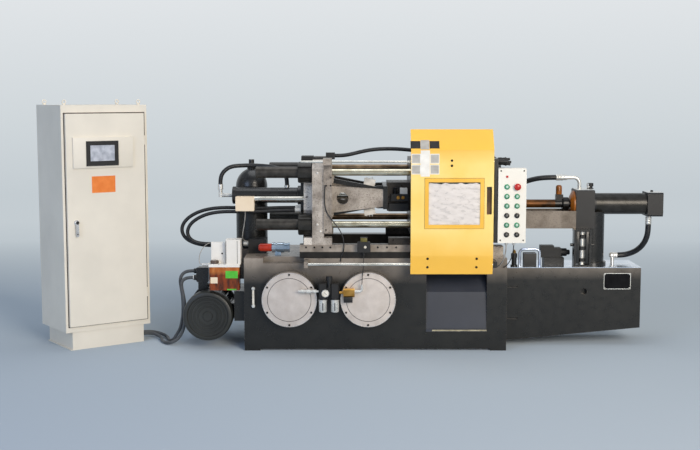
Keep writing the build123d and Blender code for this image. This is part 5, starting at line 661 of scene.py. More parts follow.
class CASTING_OT_stage(bpy.types.Operator):
    """Camera, floor with its backdrop, and studio lights"""
    bl_idname = "casting.stage"
    bl_label = "Stage and lights"

    def execute(self, context):
        scene = context.scene
        scene.view_settings.view_transform = "Standard"
        self.camera(scene)
        self.backdrop()
        self.lamps(scene)
        return {"FINISHED"}

    def camera(self, scene):
        start_fresh()
        bpy.ops.object.camera_add(location=CAMERA_PLACE, rotation=(math.radians(90) - CAMERA_PITCH, 0, 0))
        camera = bpy.context.object
        camera.name = "view_camera"
        camera.data.sensor_width = SENSOR_WIDTH_MM
        camera.data.lens = CAMERA_LENS_MM
        camera.data.clip_end = FAR_CLIP
        scene.camera = camera

    def backdrop(self):
        """A floor that turns up into a backdrop on one wide curve."""
        start_fresh()
        bpy.ops.mesh.primitive_plane_add(size=1, location=(0, 0, 0))
        floor = bpy.context.object
        floor.name = "studio_floor"
        floor.scale = (*FLOOR_SIZE, 1)
        floor.location = FLOOR_CENTRE
        bpy.ops.object.transform_apply(location=True, rotation=True, scale=True)
        bpy.ops.object.mode_set(mode="EDIT")
        mesh = bmesh.from_edit_mesh(floor.data)
        far = max(vertex.co.y for vertex in mesh.verts)
        bmesh.update_edit_mesh(floor.data)
        pick_edges(floor, lambda vertex: vertex.co.y > far - 0.01)
        bpy.ops.mesh.extrude_region_move(TRANSFORM_OT_translate={"value": (0, 0, BACKDROP_HEIGHT)})
        pick_edges(floor, lambda vertex: vertex.co.y > far - 0.01 and vertex.co.z < 0.01)
        bpy.ops.mesh.bevel(offset=BACKDROP_CURVE, segments=24, affect="EDGES")
        bpy.ops.object.mode_set(mode="OBJECT")
        bpy.ops.object.shade_smooth()
        floor.data.materials.append(self.paper())

    def paper(self):
        """Matt blue-grey background paper, paler away from the viewer and up the backdrop."""
        material, tree, surface = blank_material("Background paper",
            **{"Roughness": 0.95, "Specular IOR Level": 0.1})
        place = add_node(tree, "ShaderNodeTexCoord")
        parts = add_node(tree, "ShaderNodeSeparateXYZ", links={"Vector": place.outputs["Object"]})
        away = ranged(tree, parts.outputs["Y"], 0.0, 0.5, -2.4, 7.5)
        height = ranged(tree, parts.outputs["Z"], 0.0, 0.5, 0.0, 3.2)
        total = add_node(tree, "ShaderNodeMath", {"operation": "ADD"}, {0: away, 1: height})
        shade = add_node(
            tree, "ShaderNodeValToRGB",
            {"stops": [
                (0.0, linear("#A0AAB4")), (0.14, linear("#A6B0B8")), (0.4, linear("#BDC6CC")),
                (0.68, linear("#CFD6DA")), (1.0, linear("#E0E4E7")),
            ]},
            {"Fac": total.outputs["Value"]},
        )
        tree.links.new(shade.outputs["Color"], surface.inputs["Base Color"])
        # Seen, mirrored or looked through, the far paper keeps its own colour whatever light reaches it
        rays = add_node(tree, "ShaderNodeLightPath")
        direct = add_node(
            tree, "ShaderNodeMath", {"operation": "MAXIMUM"},
            {0: rays.outputs["Is Camera Ray"], 1: rays.outputs["Is Glossy Ray"]},
        )
        seen = add_node(
            tree, "ShaderNodeMath", {"operation": "MAXIMUM"},
            {0: direct.outputs["Value"], 1: rays.outputs["Is Transmission Ray"]},
        )
        share = add_node(
            tree, "ShaderNodeMath", {"operation": "MULTIPLY"},
            {0: seen.outputs["Value"], 1: ranged(tree, parts.outputs["Y"], 0.0, 1.0, 1.6, 5.5)},
        )
        plain = add_node(tree, "ShaderNodeEmission", {"Strength": 1.0}, {"Color": shade.outputs["Color"]})
        both = add_node(
            tree, "ShaderNodeMixShader",
            links={0: share.outputs["Value"], 1: surface.outputs["BSDF"], 2: plain.outputs["Emission"]},
        )
        output = next(node for node in tree.nodes if node.type == "OUTPUT_MATERIAL")
        tree.links.new(both.outputs["Shader"], output.inputs["Surface"])
        return material

    def lamps(self, scene):
        """A large soft key from the front right, a fill from the front left and one overhead."""
        lamps = (
            ("key_lamp", (3.6, -8.0, 3.4), (0.2, 0.0, 0.7), 4.5, 520, "#FFF4E4"),
            ("fill_lamp", (-4.5, -6.5, 2.8), (-0.4, 0.0, 0.8), 4.0, 115, "#BBD4FF"),
            ("top_lamp", (0.0, 0.5, 6.5), (0.0, 0.0, 0.5), 5.0, 115, "#FAFCFF"),
        )
        for name, place, target, size, power, colour in lamps:
            start_fresh()
            bpy.ops.object.light_add(type="AREA", location=place)
            lamp = bpy.context.object
            lamp.name = name
            lamp.rotation_euler = (Vector(target) - Vector(place)).to_track_quat("-Z", "Y").to_euler()
            lamp.data.shape = "DISK"
            lamp.data.size = size
            lamp.data.energy = power
            lamp.data.color = linear(colour)[:3]
        world = bpy.data.worlds.new("Studio air")
        scene.world = world
        world.use_nodes = True
        world.node_tree.nodes.clear()
        air = add_node(world.node_tree, "ShaderNodeBackground",
            {"Color": linear("#DCE6F2"), "Strength": 0.55})
        add_node(world.node_tree, "ShaderNodeOutputWorld", links={"Surface": air.outputs["Background"]})


# Routes of the hoses and conduits in millimetres, and their cut lengths
HOSE_ROUTES_MM = {
    "clamp_hose": [
        (-874, 0, 1066), (-874, 0, 1106), (-859, 3, 1143), (-830, 9, 1171), (-793, 17, 1187),
        (-725, 30, 1191),
        (-645, 37, 1191), (-565, 26, 1187), (-506, 8, 1180), (-468, 1, 1165), (-440, 0, 1137),
        (-425, 0, 1100),
        (-425, 0, 1060),
    ],
    "tail_hose_upper": [
        (-368, -45, 912), (-460, -45, 912), (-560, -47, 908), (-660, -50, 907), (-760, -50, 912),
        (-860, -50, 913), (-950, -50, 904), (-1030, -50, 880), (-1095, -50, 840), (-1131, -50, 790),
        (-1131, -50, 738), (-1098, -48, 695), (-1040, -46, 668), (-970, -40, 655), (-895, -24, 654),
        (-805, 0, 656), (-715, 0, 656),
    ],
    "tail_hose_lower": [
        (-368, -88, 897), (-460, -88, 897), (-560, -90, 891), (-660, -92, 888), (-760, -94, 890),
        (-855, -96, 890), (-942, -97, 878), (-1012, -98, 850), (-1066, -98, 810), (-1090, -98, 762),
        (-1082, -96, 718), (-1048, -94, 688), (-995, -92, 674), (-925, -84, 671), (-825, -80, 672),
        (-715, -80, 672),
    ],
    "head_hose": [
        (950, 80, 1010), (1010, 80, 1010), (1078, 76, 1030), (1150, 58, 1064), (1228, 26, 1096),
        (1310, 0, 1112), (1392, 0, 1112),
    ],
    "cylinder_hose": [
        (2012, -30, 808), (2012, -30, 764), (2008, -25, 718), (1996, -9, 674), (1976, 17, 636),
        (1950, 47, 606), (1916, 74, 585), (1872, 90, 572), (1826, 90, 572),
    ],
    "platen_hose": [
        (-101, -60, 1262), (-50, -60, 1262), (10, -60, 1272), (80, -58, 1290), (160, -56, 1304),
        (245, -56, 1308), (325, -58, 1306), (400, -60, 1300), (475, -61, 1291), (560, -62, 1280),
        (650, -63, 1270), (740, -62, 1264), (825, -61, 1264), (890, -60, 1266), (945, -60, 1257),
        (984, -60, 1228), (1000, -60, 1184), (1000, -60, 1138),
    ],
    "conduit_1": [
        (-1423.6, 11.6, 40), (-1395.9, 31.3, 40), (-1363, 38, 37), (-1329, 31, 30), (-1302, 10, 21),
        (-1284, -21, 14), (-1278, -66, 13), (-1261, -118, 13), (-1232, -164, 13), (-1194, -196, 20),
        (-1150, -208, 44), (-1118, -207, 88), (-1101, -202, 150), (-1098, -198, 214), (-1101, -190, 290),
        (-1112, -182, 350), (-1124, -180, 403), (-1117, -180, 438), (-1082, -180, 458), (-1042, -180, 458),
    ],
    "conduit_2": [
        (-1455.4, 56.5, 40), (-1415.5, 84.9, 40), (-1364, 96, 37), (-1313, 86, 29), (-1272, 56, 19),
        (-1247, 13, 13), (-1238, -41, 13), (-1219, -93, 14), (-1192, -134, 24), (-1168, -152, 58),
        (-1138, -158, 106), (-1122, -156, 170), (-1117, -150, 240), (-1120, -141, 318), (-1129, -136, 378),
        (-1138, -135, 433), (-1124, -135, 473), (-1088, -135, 496), (-1042, -135, 496),
    ],
}
HOSE_DIAMETER_MM = {
    "clamp_hose": 28, "tail_hose_upper": 24, "tail_hose_lower": 24, "head_hose": 34, "cylinder_hose": 38,
    "platen_hose": 26, "conduit_1": 22, "conduit_2": 22,
}
HOSE_LENGTH_MM = {
    "clamp_hose": 611, "tail_hose_upper": 1299, "tail_hose_lower": 1191, "head_hose": 470,
    "cylinder_hose": 379, "platen_hose": 1193, "conduit_1": 898, "conduit_2": 969,
}
# Thin leads that stay on the machine: route, diameter and length
LEADS_MM = {
    "strip_lead": ([
        (-160, -357, 1086), (-164, -357, 1048), (-165, -357, 1000), (-163, -357, 950), (-150, -357, 908),
        (-126, -358, 872), (-96, -361, 836), (-66, -364, 796), (-45, -366, 752), (-38, -366, 706),
        (-40, -363, 664), (-52, -359, 634), (-60, -357, 612), (-62, -356, 590),
    ], 7, 540),
    "switch_lead": ([
        (76, -473, 456), (76.5, -473, 474), (78, -466, 492), (80, -453, 510), (83, -437, 533),
        (86, -418, 560), (88, -399, 590), (89, -385, 614), (89.5, -377.5, 634),
    ], 5, 214),
    "box_lead": ([
        (1000, -448, 730), (1000, -448, 700), (998, -446, 668), (992, -440, 632), (983, -426, 602),
        (974, -405, 580), (966, -380, 566), (962, -358, 560), (961, -344, 558),
    ], 8, 215),
    "box_lead_2": ([
        (1048, -448, 730), (1048, -448, 700), (1046, -445, 664), (1038, -437, 628), (1026, -422, 596),
        (1012, -400, 572), (1003, -378, 559), (999, -358, 553), (998, -344, 551),
    ], 6, 225),
    "grease_lead": ([
        (-966, -281, 558), (-978, -281, 559), (-988, -280, 572), (-990, -277, 600), (-984, -271, 632),
        (-968, -263, 664), (-946, -256, 688), (-922, -251, 699), (-904, -249, 700),
    ], 5, 190),
    "junction_lead": ([
        (-693, -175, 906), (-693, -175, 880), (-696, -175, 842), (-703, -172, 798), (-712, -164, 756),
        (-717, -148, 722), (-712, -126, 702), (-698, -110, 694), (-684, -103, 692), (-674, -101, 692),
    ], 6, 265),
}
PALE_LEADS = ("box_lead", "junction_lead", "grease_lead")


class CASTING_OT_hoses(bpy.types.Operator):
    """Oil hoses, cable conduits and their fittings"""
    bl_idname = "casting.hoses"
    bl_label = "Hoses and conduits"

    def execute(self, context):
        for node, route in HOSE_ROUTES_MM.items():
            self.lay(node, route)
        for name, (route, diameter, length) in LEADS_MM.items():
            self.lay_lead(name, route, diameter, length)
        paint_nodes(zinc_plate(), "hose_fittings")
        self.pressed_sleeves()
        return {"FINISHED"}

    def pressed_sleeves(self):
        """Crimped steel sleeves on the two thick hoses of the injection unit."""
        sleeve = [(0, 19), (3, 21), (12, 21), (14, 20), (18, 21), (28, 21), (30, 20), (34, 21), (46, 21),
            (50, 17), (54, 13)]
        places = [at(1388, 0, 1112, RIGHT), at(2012, -30, 799), at(1834, 90, 572, LEFT)]
        fit(turned(sleeve, 28), places, "pressed_sleeves", zinc_plate())

    def tube(self, name, route, diameter):
        """A round tube on a smooth line whose control points are the route's."""
        curve = bpy.data.curves.new(name, "CURVE")
        curve.dimensions = "3D"
        spline = curve.splines.new("NURBS")
        spline.points.add(len(route) - 1)
        for point, (x, y, z) in zip(spline.points, route):
            point.co = (x * MM, y * MM, z * MM, 1)
        spline.order_u = 3
        spline.use_endpoint_u = True
        spline.resolution_u = 10
        curve.bevel_depth = diameter * MM / 2
        curve.bevel_resolution = 5
        curve.use_fill_caps = True
        tube = bpy.data.objects.new(name, curve)
        bpy.context.scene.collection.objects.link(tube)
        return tube

    def lay_lead(self, name, route, diameter, length):
        """A thin sensor lead from one fitting of the machine to another."""
        lead = self.tube(name, route, diameter)
        if name in PALE_LEADS:
            # Pale grey lead, evenly satin
            skin = kept(moulded_plastic, "Grey lead skin", "#B4B0AA", "#8E8A84", rough=0.45)
        else:
            # Black lead with a soft shine
            skin = kept(moulded_plastic, "Black lead skin", "#2A2A2C", "#1A1A1B", rough=0.45)
        lead.data.materials.append(skin)
        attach(lead, MACHINE)

    def lay(self, node, route):
        """One hose on a smooth line through its route."""
        diameter = HOSE_DIAMETER_MM[node]
        tube = self.tube(node + "_tube", route, diameter)
        conduit = node.startswith("conduit")
        if conduit:
            material = ringed_hose(
                "Conduit skin " + node[-1], colours().conduit, darker(colours().conduit, 0.6), 7,
                HOSE_LENGTH_MM[node], 1.2,
            )
        else:
            material = ringed_hose(
                "Wrapped rubber " + node, colours().hose, darker(colours().hose, 0.5), 3,
                HOSE_LENGTH_MM[node], 0.3, rough=0.42,
            )
        tube.data.materials.append(material)
        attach(tube, MACHINE)
        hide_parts(node)


# Bed

COVER_CENTRES_MM = ((-392, 350), (117, 350))
BED_FACE_MM = -350
BASE_FACE_MM = -180
PLATE_CENTRE_MM = (1778, 433)
PLATE_SIZE_MM = (180, 108)


class CASTING_OT_bed(bpy.types.Operator):
    """Bed, injection base, tank covers, chute, level gauge and ways"""
    bl_idname = "casting.bed"
    bl_label = "Bed and tank covers"

    def execute(self, context):
        paint_nodes(bed_enamel(), "bed", "injection_base", "side_brackets")
        paint_nodes(self.deck_metal(), "deck_sheet")
        paint_nodes(self.cover_metal(), "tank_covers")
        paint_nodes(self.chute_enamel(), "chute")
        paint_nodes(black_plastic(), "level_gauge", "limit_switch")
        # Milled grey face outside, black inside, and black below the face as painted shade
        paint_nodes(two_finishes(
            "Milled way, dark inside, painted shade below", ("#A79C90", "#7D7369", 0.45, 0.5), ("#2A2521", "#161310", 0.3, 0.3),
            "Y", -300, -270, also=("Z", 654, 650)), "bed_ways")
        self.cover_bolts()
        self.gauge()
        self.bare_plate()
        self.chute_trim()
        self.way_screws()
        return {"FINISHED"}

    def deck_metal(self):
        """Bright rolled steel sheet on the injection base, clean enough to mirror the room."""
        return bare_steel("Bright rolled sheet", linear("#F4F8FF"), linear("#CBD6E8"), rough=0.14,
            stretch=(0.1, 1, 1))

    def cover_metal(self):
        """Milled aluminium plate: pale, with a faint cloudy bloom."""
        return bare_steel(
            "Milled aluminium plate", linear("#E2D8D0"), linear("#CFC4BB"), rough=0.46, line_mm=6,
        )

    def chute_enamel(self):
        colour = colours().chute
        # Sheet enamel: blue-grey slate, satin
        return sprayed_paint("Slate sheet enamel", colour, darker(colour, 0.8), rough=0.42)

    def cover_bolts(self):
        radius = sizes().cover_bolt / MM
        circle = sizes().cover_bolt_circle / MM
        face = front_of("tank_covers")
        places = []
        for x, z in COVER_CENTRES_MM:
            for step in range(6):
                angle = math.radians(90 + 60 * step)
                places.append(at(x + circle * math.cos(angle), face, z + circle * math.sin(angle), FRONT))
        fit(cap_screw(radius), places, "cover_bolts", black_oxide())
        # A dark ring fills the turned groove of each cover
        groove_fill = kept(moulded_plastic, "Oily grime", "#4A443F", "#2E2A27", rough=0.5)
        fit(open_ring(142.2, 138.8, 0.5), [at(x, face, z, FRONT) for x, z in COVER_CENTRES_MM],
            "cover_grooves", groove_fill)
        fit(open_ring(177.6, 173.4, 0.6), [at(x, face, z, FRONT) for x, z in COVER_CENTRES_MM],
            "cover_rims", self.rim_metal())

    def rim_metal(self):
        """Bright turned bevel of the covers, freshly cut."""
        return kept(bare_steel, "Turned aluminium rim", "#F3ECE6", "#D9D0C8", rough=0.3, line_mm=4)

    def gauge(self):
        """Clear level tube with a white scale strip and two banjo screws."""
        low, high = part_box("level_gauge")
        x = (low.x + high.x) / 2 / MM
        z = (low.z + high.z) / 2 / MM
        face = low.y / MM
        length = (high.z - low.z) / MM
        strip = slab(13, length - 44, 1.5, corner_mm=3)
        # Opal plastic: warm white and smooth
        white = kept(moulded_plastic, "White scale strip", "#E9E4D8", "#CFC8B8", rough=0.3)
        fit(strip, [at(x, face, z, FRONT)], "gauge_strip", white)
        places = [at(x, face, z + side * (length / 2 - 11), FRONT) for side in (-1, 1)]
        fit(hex_bolt(9), places, "gauge_screws", zinc_plate())

    def bare_plate(self):
        """Blank plate with a bright rim and four rivets."""
        x, z = PLATE_CENTRE_MM
        width, height = PLATE_SIZE_MM
        plate = frame_slab(width, height, 1.6, 5, 0.5, corner_mm=3)
        # Etched and blackened sheet: dark, with a dull metal sheen
        dark = kept(bare_steel, "Etched black plate", "#232325", "#18181A", rough=0.35)
        fit(plate, [at(x, BASE_FACE_MM, z, FRONT)], "bare_plate", dark)
        places = [
            at(x + sx * (width / 2 - 9), BASE_FACE_MM - 1.4, z + sz * (height / 2 - 9), FRONT)
            for sx in (-1, 1) for sz in (-1, 1)
        ]
        rivet = turned([(0, 3.6), (1.0, 3.2), (1.8, 1.8)], sides=12)
        rivets = copies(rivet, places)
        rim = []
        bar = slab(1, 1, 0.9)
        upright = Matrix.Diagonal((4, height - 4, 1, 1))
        level = Matrix.Diagonal((width - 4, 4, 1, 1))
        for side in (-1, 1):
            rim.append(at(x + side * (width / 2 - 2), BASE_FACE_MM - 1.4, z, FRONT) @ upright)
            rim.append(at(x, BASE_FACE_MM - 1.4, z + side * (height / 2 - 2), FRONT) @ level)
        rims = copies(bar, rim)
        finished(joined([rivets, rims]), "plate_rim_and_rivets", zinc_plate())

    def chute_trim(self):
        """Pale bottom lip of the chute."""
        low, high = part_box("chute")
        x = (low.x + high.x) / 2 / MM
        width = (high.x - low.x) / MM
        lip = slab(width * 0.9, 9, 2.0)
        # Aged cream enamel, a little yellowed
        cream = kept(moulded_plastic, "Cream sheet edge", "#BDB394", "#8F866C")
        fit(lip, [at(x + width * 0.05, low.y / MM, low.z / MM + 9, FRONT)], "chute_lip", cream)

    def way_screws(self):
        """Cap screws along the front of the near way."""
        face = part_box("bed_ways")[0].y / MM
        places = [at(x, face, 682, FRONT) for x in (-285, -231, -179, -127, 180, 240, 300)]
        fit(cap_screw(6), places, "way_screws", black_oxide())


class CASTING_OT_clamping_unit(bpy.types.Operator):
    """Platens, tie bars, toggle cheeks and clamp cylinder"""
    bl_idname = "casting.clamping_unit"
    bl_label = "Clamping unit"

    def execute(self, context):
        pores = linear("#3E3935")
        paint_nodes(cast_iron(), "toggle_cheeks", "fixed_platen")
        # Casting painted pale before its flange, a painted light where the platen shades it, and darker iron
        # past the flange
        paint_nodes(two_finishes(
            "Tail casting with painted light", ("#F2EADF", "#D6CCC0", 0.42, 0.1), ("#C4BAAF", "#8E847A", 0.5, 0.5),
            "X", -250, -246, speck=pores), "tail_platen")
        paint_nodes(unit_enamel(), "clamp_cylinder", "toggle_links")
        paint_nodes(black_plastic(), "valve_blocks")
        # Smooth enamel: warm black with a soft metal sheen
        paint_nodes(moulded_plastic(
            "Smooth black sleeve enamel", linear("#34322F"), linear("#26241F"), rough=0.3, Metallic=0.35),
            "tie_bar_nuts")
        paint_nodes(ground_steel(), "guide_rods")
        # Mirror-bright near bars, and rear bars of the same chrome painted duller brown as painted shade
        paint_nodes(two_finishes(
            "Chromed bars, rear ones in painted shade", ("#E4DDC6", "#C2B89C", 0.2, 1.0),
            ("#8F7B64", "#5C4C3C", 0.34, 1.0), "Y", -60, 60, relief=0.03), "tie_bars")
        # Milled grey strip at the left, black enamel at the right
        paint_nodes(two_finishes(
            "Milled strip and black arms", ("#A79C90", "#7D7369", 0.5, 0.5),
            ("#262525", "#181817", 0.3, 0.0),
            "X", -20, 20, speck=pores), "rod_brackets")
        # Casting painted dark brown-grey, fairly shiny
        paint_nodes(kept(milled_casting, "Oily dark casting", "#4A443E", "#2B2723", "#191715", rough=0.36),
            "moving_platen")
        self.sleeve_skins()
        self.platen_screws()
        self.link_blocks()
        self.boss_valves()
        return {"FINISHED"}

    def sleeve_skins(self):
        """Smooth black skin of the near adjusting sleeves, with their chamfered ends."""
        skin = turned([(-0.3, 33.2), (3.8, 37.3), (274.7, 37.3)], 64)
        places = [at(-614, -260, 992 + side * 171, RIGHT) for side in (-1, 1)]
        # Black sleeve rubbed with oil: warm dark grey with a metal sheen
        worn = kept(moulded_plastic, "Rubbed black sleeve", "#4C4843", "#37342F", rough=0.36, Metallic=0.6)
        fit(skin, places, "sleeve_skins", worn)

    def platen_screws(self):
        """Screws of the strip and of the tail platen, and the platen's foot under the button box."""
        radius = sizes().platen_bolt / MM
        strip = [at(x, -352, z, FRONT) for x, z in ((-123, 1135), (-153, 1083), (-124, 1083), (-155, 796))]
        dark = [at(-284, -200, 997, FRONT)]
        fit(cap_screw(radius * 0.45), strip + dark, "strip_screws", black_oxide())
        pale = [at(x, -340, z, FRONT) for x, z in ((-210, 1163), (-211, 829), (-190, 785))]
        # Plated heads painted near white, a painted highlight for the glint of the key lamp
        bright = kept(moulded_plastic, "Bright screw heads", "#F4F0E8", "#D6D0C6", rough=0.25, Metallic=0.3)
        fit(button_screw(radius * 0.7), pale, "platen_screws", bright)
        fit(slab(78, 88, 78, corner_mm=6, edge_mm=5), [at(958, -292, 610)], "platen_foot", cast_iron())

    def link_blocks(self):
        """White grease distributors on the outer edges of the near links."""
        white = kept(moulded_plastic, "White distributor plastic", "#EFE9DE", "#D8D0C4", rough=0.35)
        slope = math.atan2(62, 319)
        places = [
            at(130.3, -114, 992 + side * 98.7) @ Matrix.Rotation(side * slope, 4, "Y") @ FRONT
            for side in (-1, 1)
        ]
        fit(slab(74, 43, 35, corner_mm=4, edge_mm=3), places, "link_blocks", white)
        nipples = [
            at(112 + 18 * step, -132, 992 + side * 118) @ (UP if side > 0 else DOWN)
            for side in (-1, 1) for step in range(3)
        ]
        nipple = turned([(-8, 5), (6, 5), (6, 3.4), (12, 3.4), (14, 2.4)], sides=10)
        fit(nipple, nipples, "grease_nipples", zinc_plate())

    def boss_valves(self):
        """Plug connector, brass port and hose nuts of the valve on the moving platen."""
        white = bpy.data.materials["White distributor plastic"]
        fit(slab(48, 46, 40, corner_mm=5, edge_mm=4), [at(355, -150, 1014)], "valve_plug", white)
        ports = [at(x, -180, 991, FRONT) for x in (318, 350)]
        port = turned([(0, 12), (7, 12), (7, 8), (16, 8), (18, 6)], sides=6)
        fit(port, ports, "brass_ports", cast_brass())
        nuts = [at(300, -150, 1020), at(300, -150, 1040)]
        fit(hex_bolt(14), nuts, "port_nuts", black_oxide())


# Guard door
GUARD_FACE_MM = -490
WINDOW_X_MM = 662.5
WINDOW_Z_MM = 979.5
FILM_FACE_MM = -488.6
FILM_SIDES_MM = (500.0, 825.0)
FILM_HEIGHTS_MM = (845.0, 1106.0)
FLAP_PLACE_MM = (-467.4, 1351)
FLAP_LEAN = math.radians(35.1)
SKIRT_LEAN = math.radians(9.4)


class CASTING_OT_guard(bpy.types.Operator):
    """Sliding guard door, its window, handle and blank plates"""
    bl_idname = "casting.guard"
    bl_label = "Guard door"

    def execute(self, context):
        colour = colours().guard
        yellow = self.enamel(colour)
        paint_nodes(yellow, "guard_door")
        # Worn bronze below, and black above as painted shade deep in the cup
        paint_nodes(two_finishes(
            "Bronze pull cup", ("#7A5C42", "#4E3828", 0.3, 0.4), ("#1E1A17", "#131110", 0.4, 0.0),
            "Z", 1062, 1068), "guard_handle")
        self.rear_sheet(yellow)
        self.window_trim()
        # Tinted pane behind the film: dark olive and smooth
        pane = moulded_plastic("Dark pane glass", linear("#4B5148"), linear("#2C302B"), rough=0.12)
        paint_nodes(pane, "guard_window")
        self.wavy_film()
        self.bolts()
        self.blank_plates()
        return {"FINISHED"}

    def enamel(self, colour):
        """Guard enamel, deeper on the flaps, and paler between its two bends as a painted reflection."""
        material, tree, surface = blank_material("Yellow guard enamel", **{"IOR": 1.5})
        clouds = grain(tree, 260)
        deep = spread(tree, clouds, darker(colour, 0.94), colour)
        # Painted reflection: between the two bends the sheet is painted paler, as if it mirrored the bright
        # room
        pale = spread(tree, clouds, linear("#FBD46E"), linear("#FFE08A"))
        painted_reflection_band = add_node(
            tree, "ShaderNodeMath", {"operation": "MULTIPLY"},
            {0: along(tree, "Z", 620, 800), 1: along(tree, "Z", 1322, 1230)},
        )
        skin = layered(tree, deep, pale, painted_reflection_band.outputs["Value"])
        tree.links.new(skin, surface.inputs["Base Color"])
        # Wiping marks 80 mm across vary the gloss
        tree.links.new(ranged(tree, grain(tree, 80, detail=4), 0.28, 0.38), surface.inputs["Roughness"])
        roughen(tree, surface, grain(tree, 4, detail=2), 0.08, 0.25)
        return material

    def rear_sheet(self, yellow):
        """Fixed sheet on the far side, folded like the door, on two feet and a tie."""
        sheet = bent_sheet([(468, 526), (488, 645), (488, 1300), (424, 1404)], 442, 910, 2.5)
        places = [at(x, 410, 585, BACK) for x in (474, 838)] + [at(838, 414, 1172, BACK)]
        feet = copies(slab(56, 28, 76, corner_mm=3), [place @ at(0, 0, -40) for place in places])
        sheet = finished(joined([sheet, feet]), "rear_sheet", yellow)
        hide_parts("rear_guard")

    def window_trim(self):
        """Deeper yellow face of the raised window frame, and the painted shadow line round it."""
        face = kept(sprayed_paint, "Deep yellow enamel", "#F9C34A", "#F2B83C", rough=0.34)
        fit(open_frame(374, 318, 0.6, 23), [at(WINDOW_X_MM, GUARD_FACE_MM - 4, WINDOW_Z_MM, FRONT)],
            "window_trim", face, GUARD)
        # Painted shadow line round the raised frame: yellow-brown and dull
        line = kept(moulded_plastic, "Brown sealing line", "#9A7428", "#7C5A1C", rough=0.5)
        fit(open_frame(380, 324, 0.6, 2.6), [at(WINDOW_X_MM, GUARD_FACE_MM, WINDOW_Z_MM, FRONT)],
            "window_shadow_line", line, GUARD)

    def film(self):
        """Protective film left on the pane: pale, silvery, wrinkled from side to side."""
        material, tree, surface = blank_material("Wrinkled protective film",
            **{"IOR": 1.46, "Metallic": 0.12})
        # Wrinkles 22 mm apart run across the pane, and finer ones break them up
        wrinkles = grain(tree, 22, (0.6, 1, 1.3), detail=8)
        skin = spread(tree, wrinkles, linear("#D6CEC8"), linear("#E4DDD8"), 0.3, 0.7)
        tree.links.new(skin, surface.inputs["Base Color"])
        tree.links.new(ranged(tree, wrinkles, 0.2, 0.5), surface.inputs["Roughness"])
        roughen(tree, surface, wrinkles, 0.22, 1.2)
        return material

    def wavy_film(self):
        """The film itself, in front of the pane, with its top edge crept down in waves."""
        start_fresh()
        (left, right), (low, high) = FILM_SIDES_MM, FILM_HEIGHTS_MM
        bpy.ops.mesh.primitive_grid_add(x_subdivisions=64, y_subdivisions=24, size=1)
        film = bpy.context.object
        bpy.ops.object.mode_set(mode="EDIT")
        mesh = bmesh.from_edit_mesh(film.data)
        for vertex in mesh.verts:
            across = vertex.co.x + 0.5
            up = vertex.co.y + 0.5
            wave = 3.0 * math.sin(across * 23) + 2.0 * math.sin(across * 41 + 1)
            x = left + across * (right - left)
            z = low + up * (high - low + wave * up)
            ripple = 0.45 * math.sin(z / 9 + 2 * math.sin(x / 47)) * math.sin(x / 31)
            vertex.co = (x * MM, (FILM_FACE_MM + ripple) * MM, z * MM)
        bmesh.update_edit_mesh(film.data)
        leave_edit()
        thicken(film, 0.4 * MM)
        finished(film, "pane_film", self.film(), GUARD, angle=60)

    def bolts(self):
        """Button-head bolts of the rod bushes and of the top lock."""
        radius = sizes().guard_bolt / MM
        places = [at(645, GUARD_FACE_MM, z, FRONT) for z in (1252, 1220)]
        tilt = Matrix.Rotation(math.radians(90) + SKIRT_LEAN, 4, "X")
        for x in (495, 808):
            places.append(at(x, -486.8, 626, tilt))
            places.append(at(x, -477.6, 570, tilt))
        fit(button_screw(radius), places, "guard_bolts", black_oxide(), GUARD)

    def blank_plates(self):
        """Blank plates at the top left of the guard: three on the sloping flap, five below the bend."""
        slope = Matrix.Rotation(math.radians(90) - FLAP_LEAN, 4, "X")
        # Stove enamel: clean white, light warm grey and near black, all satin
        white = kept(moulded_plastic, "White plate enamel", "#F4F1EA", "#E6E2DA", rough=0.35)
        pale = kept(moulded_plastic, "Grey plate enamel", "#B9B6B0", "#A8A49D", rough=0.4)
        black = kept(moulded_plastic, "Black plate enamel", "#26231F", "#191714", rough=0.35)
        upper = [at(x, *FLAP_PLACE_MM, slope) for x in (414, 535)]
        fit(slab(62, 56, 0.8, corner_mm=4), upper, "flap_plates", black, GUARD)
        fit(slab(56, 70, 0.8, corner_mm=2), [at(474, *FLAP_PLACE_MM, slope)], "flap_middle_plate", pale,
            GUARD)
        fit(slab(58, 166, 0.8, corner_mm=2), [at(476, GUARD_FACE_MM, 1234, FRONT)], "plate_column", white,
            GUARD)
        sides = [at(x, GUARD_FACE_MM, z, FRONT) for x in (418, 536) for z in (1264, 1196)]
        fit(frame_slab(58, 62, 0.9, 4, 0.3, corner_mm=5), sides, "side_plates", white, GUARD)
        fields = [at(x, GUARD_FACE_MM - 0.6, z, FRONT) for x in (418, 536) for z in (1264, 1196)]
        fit(slab(50, 52, 0.5, corner_mm=2), fields, "plate_fields", pale, GUARD)


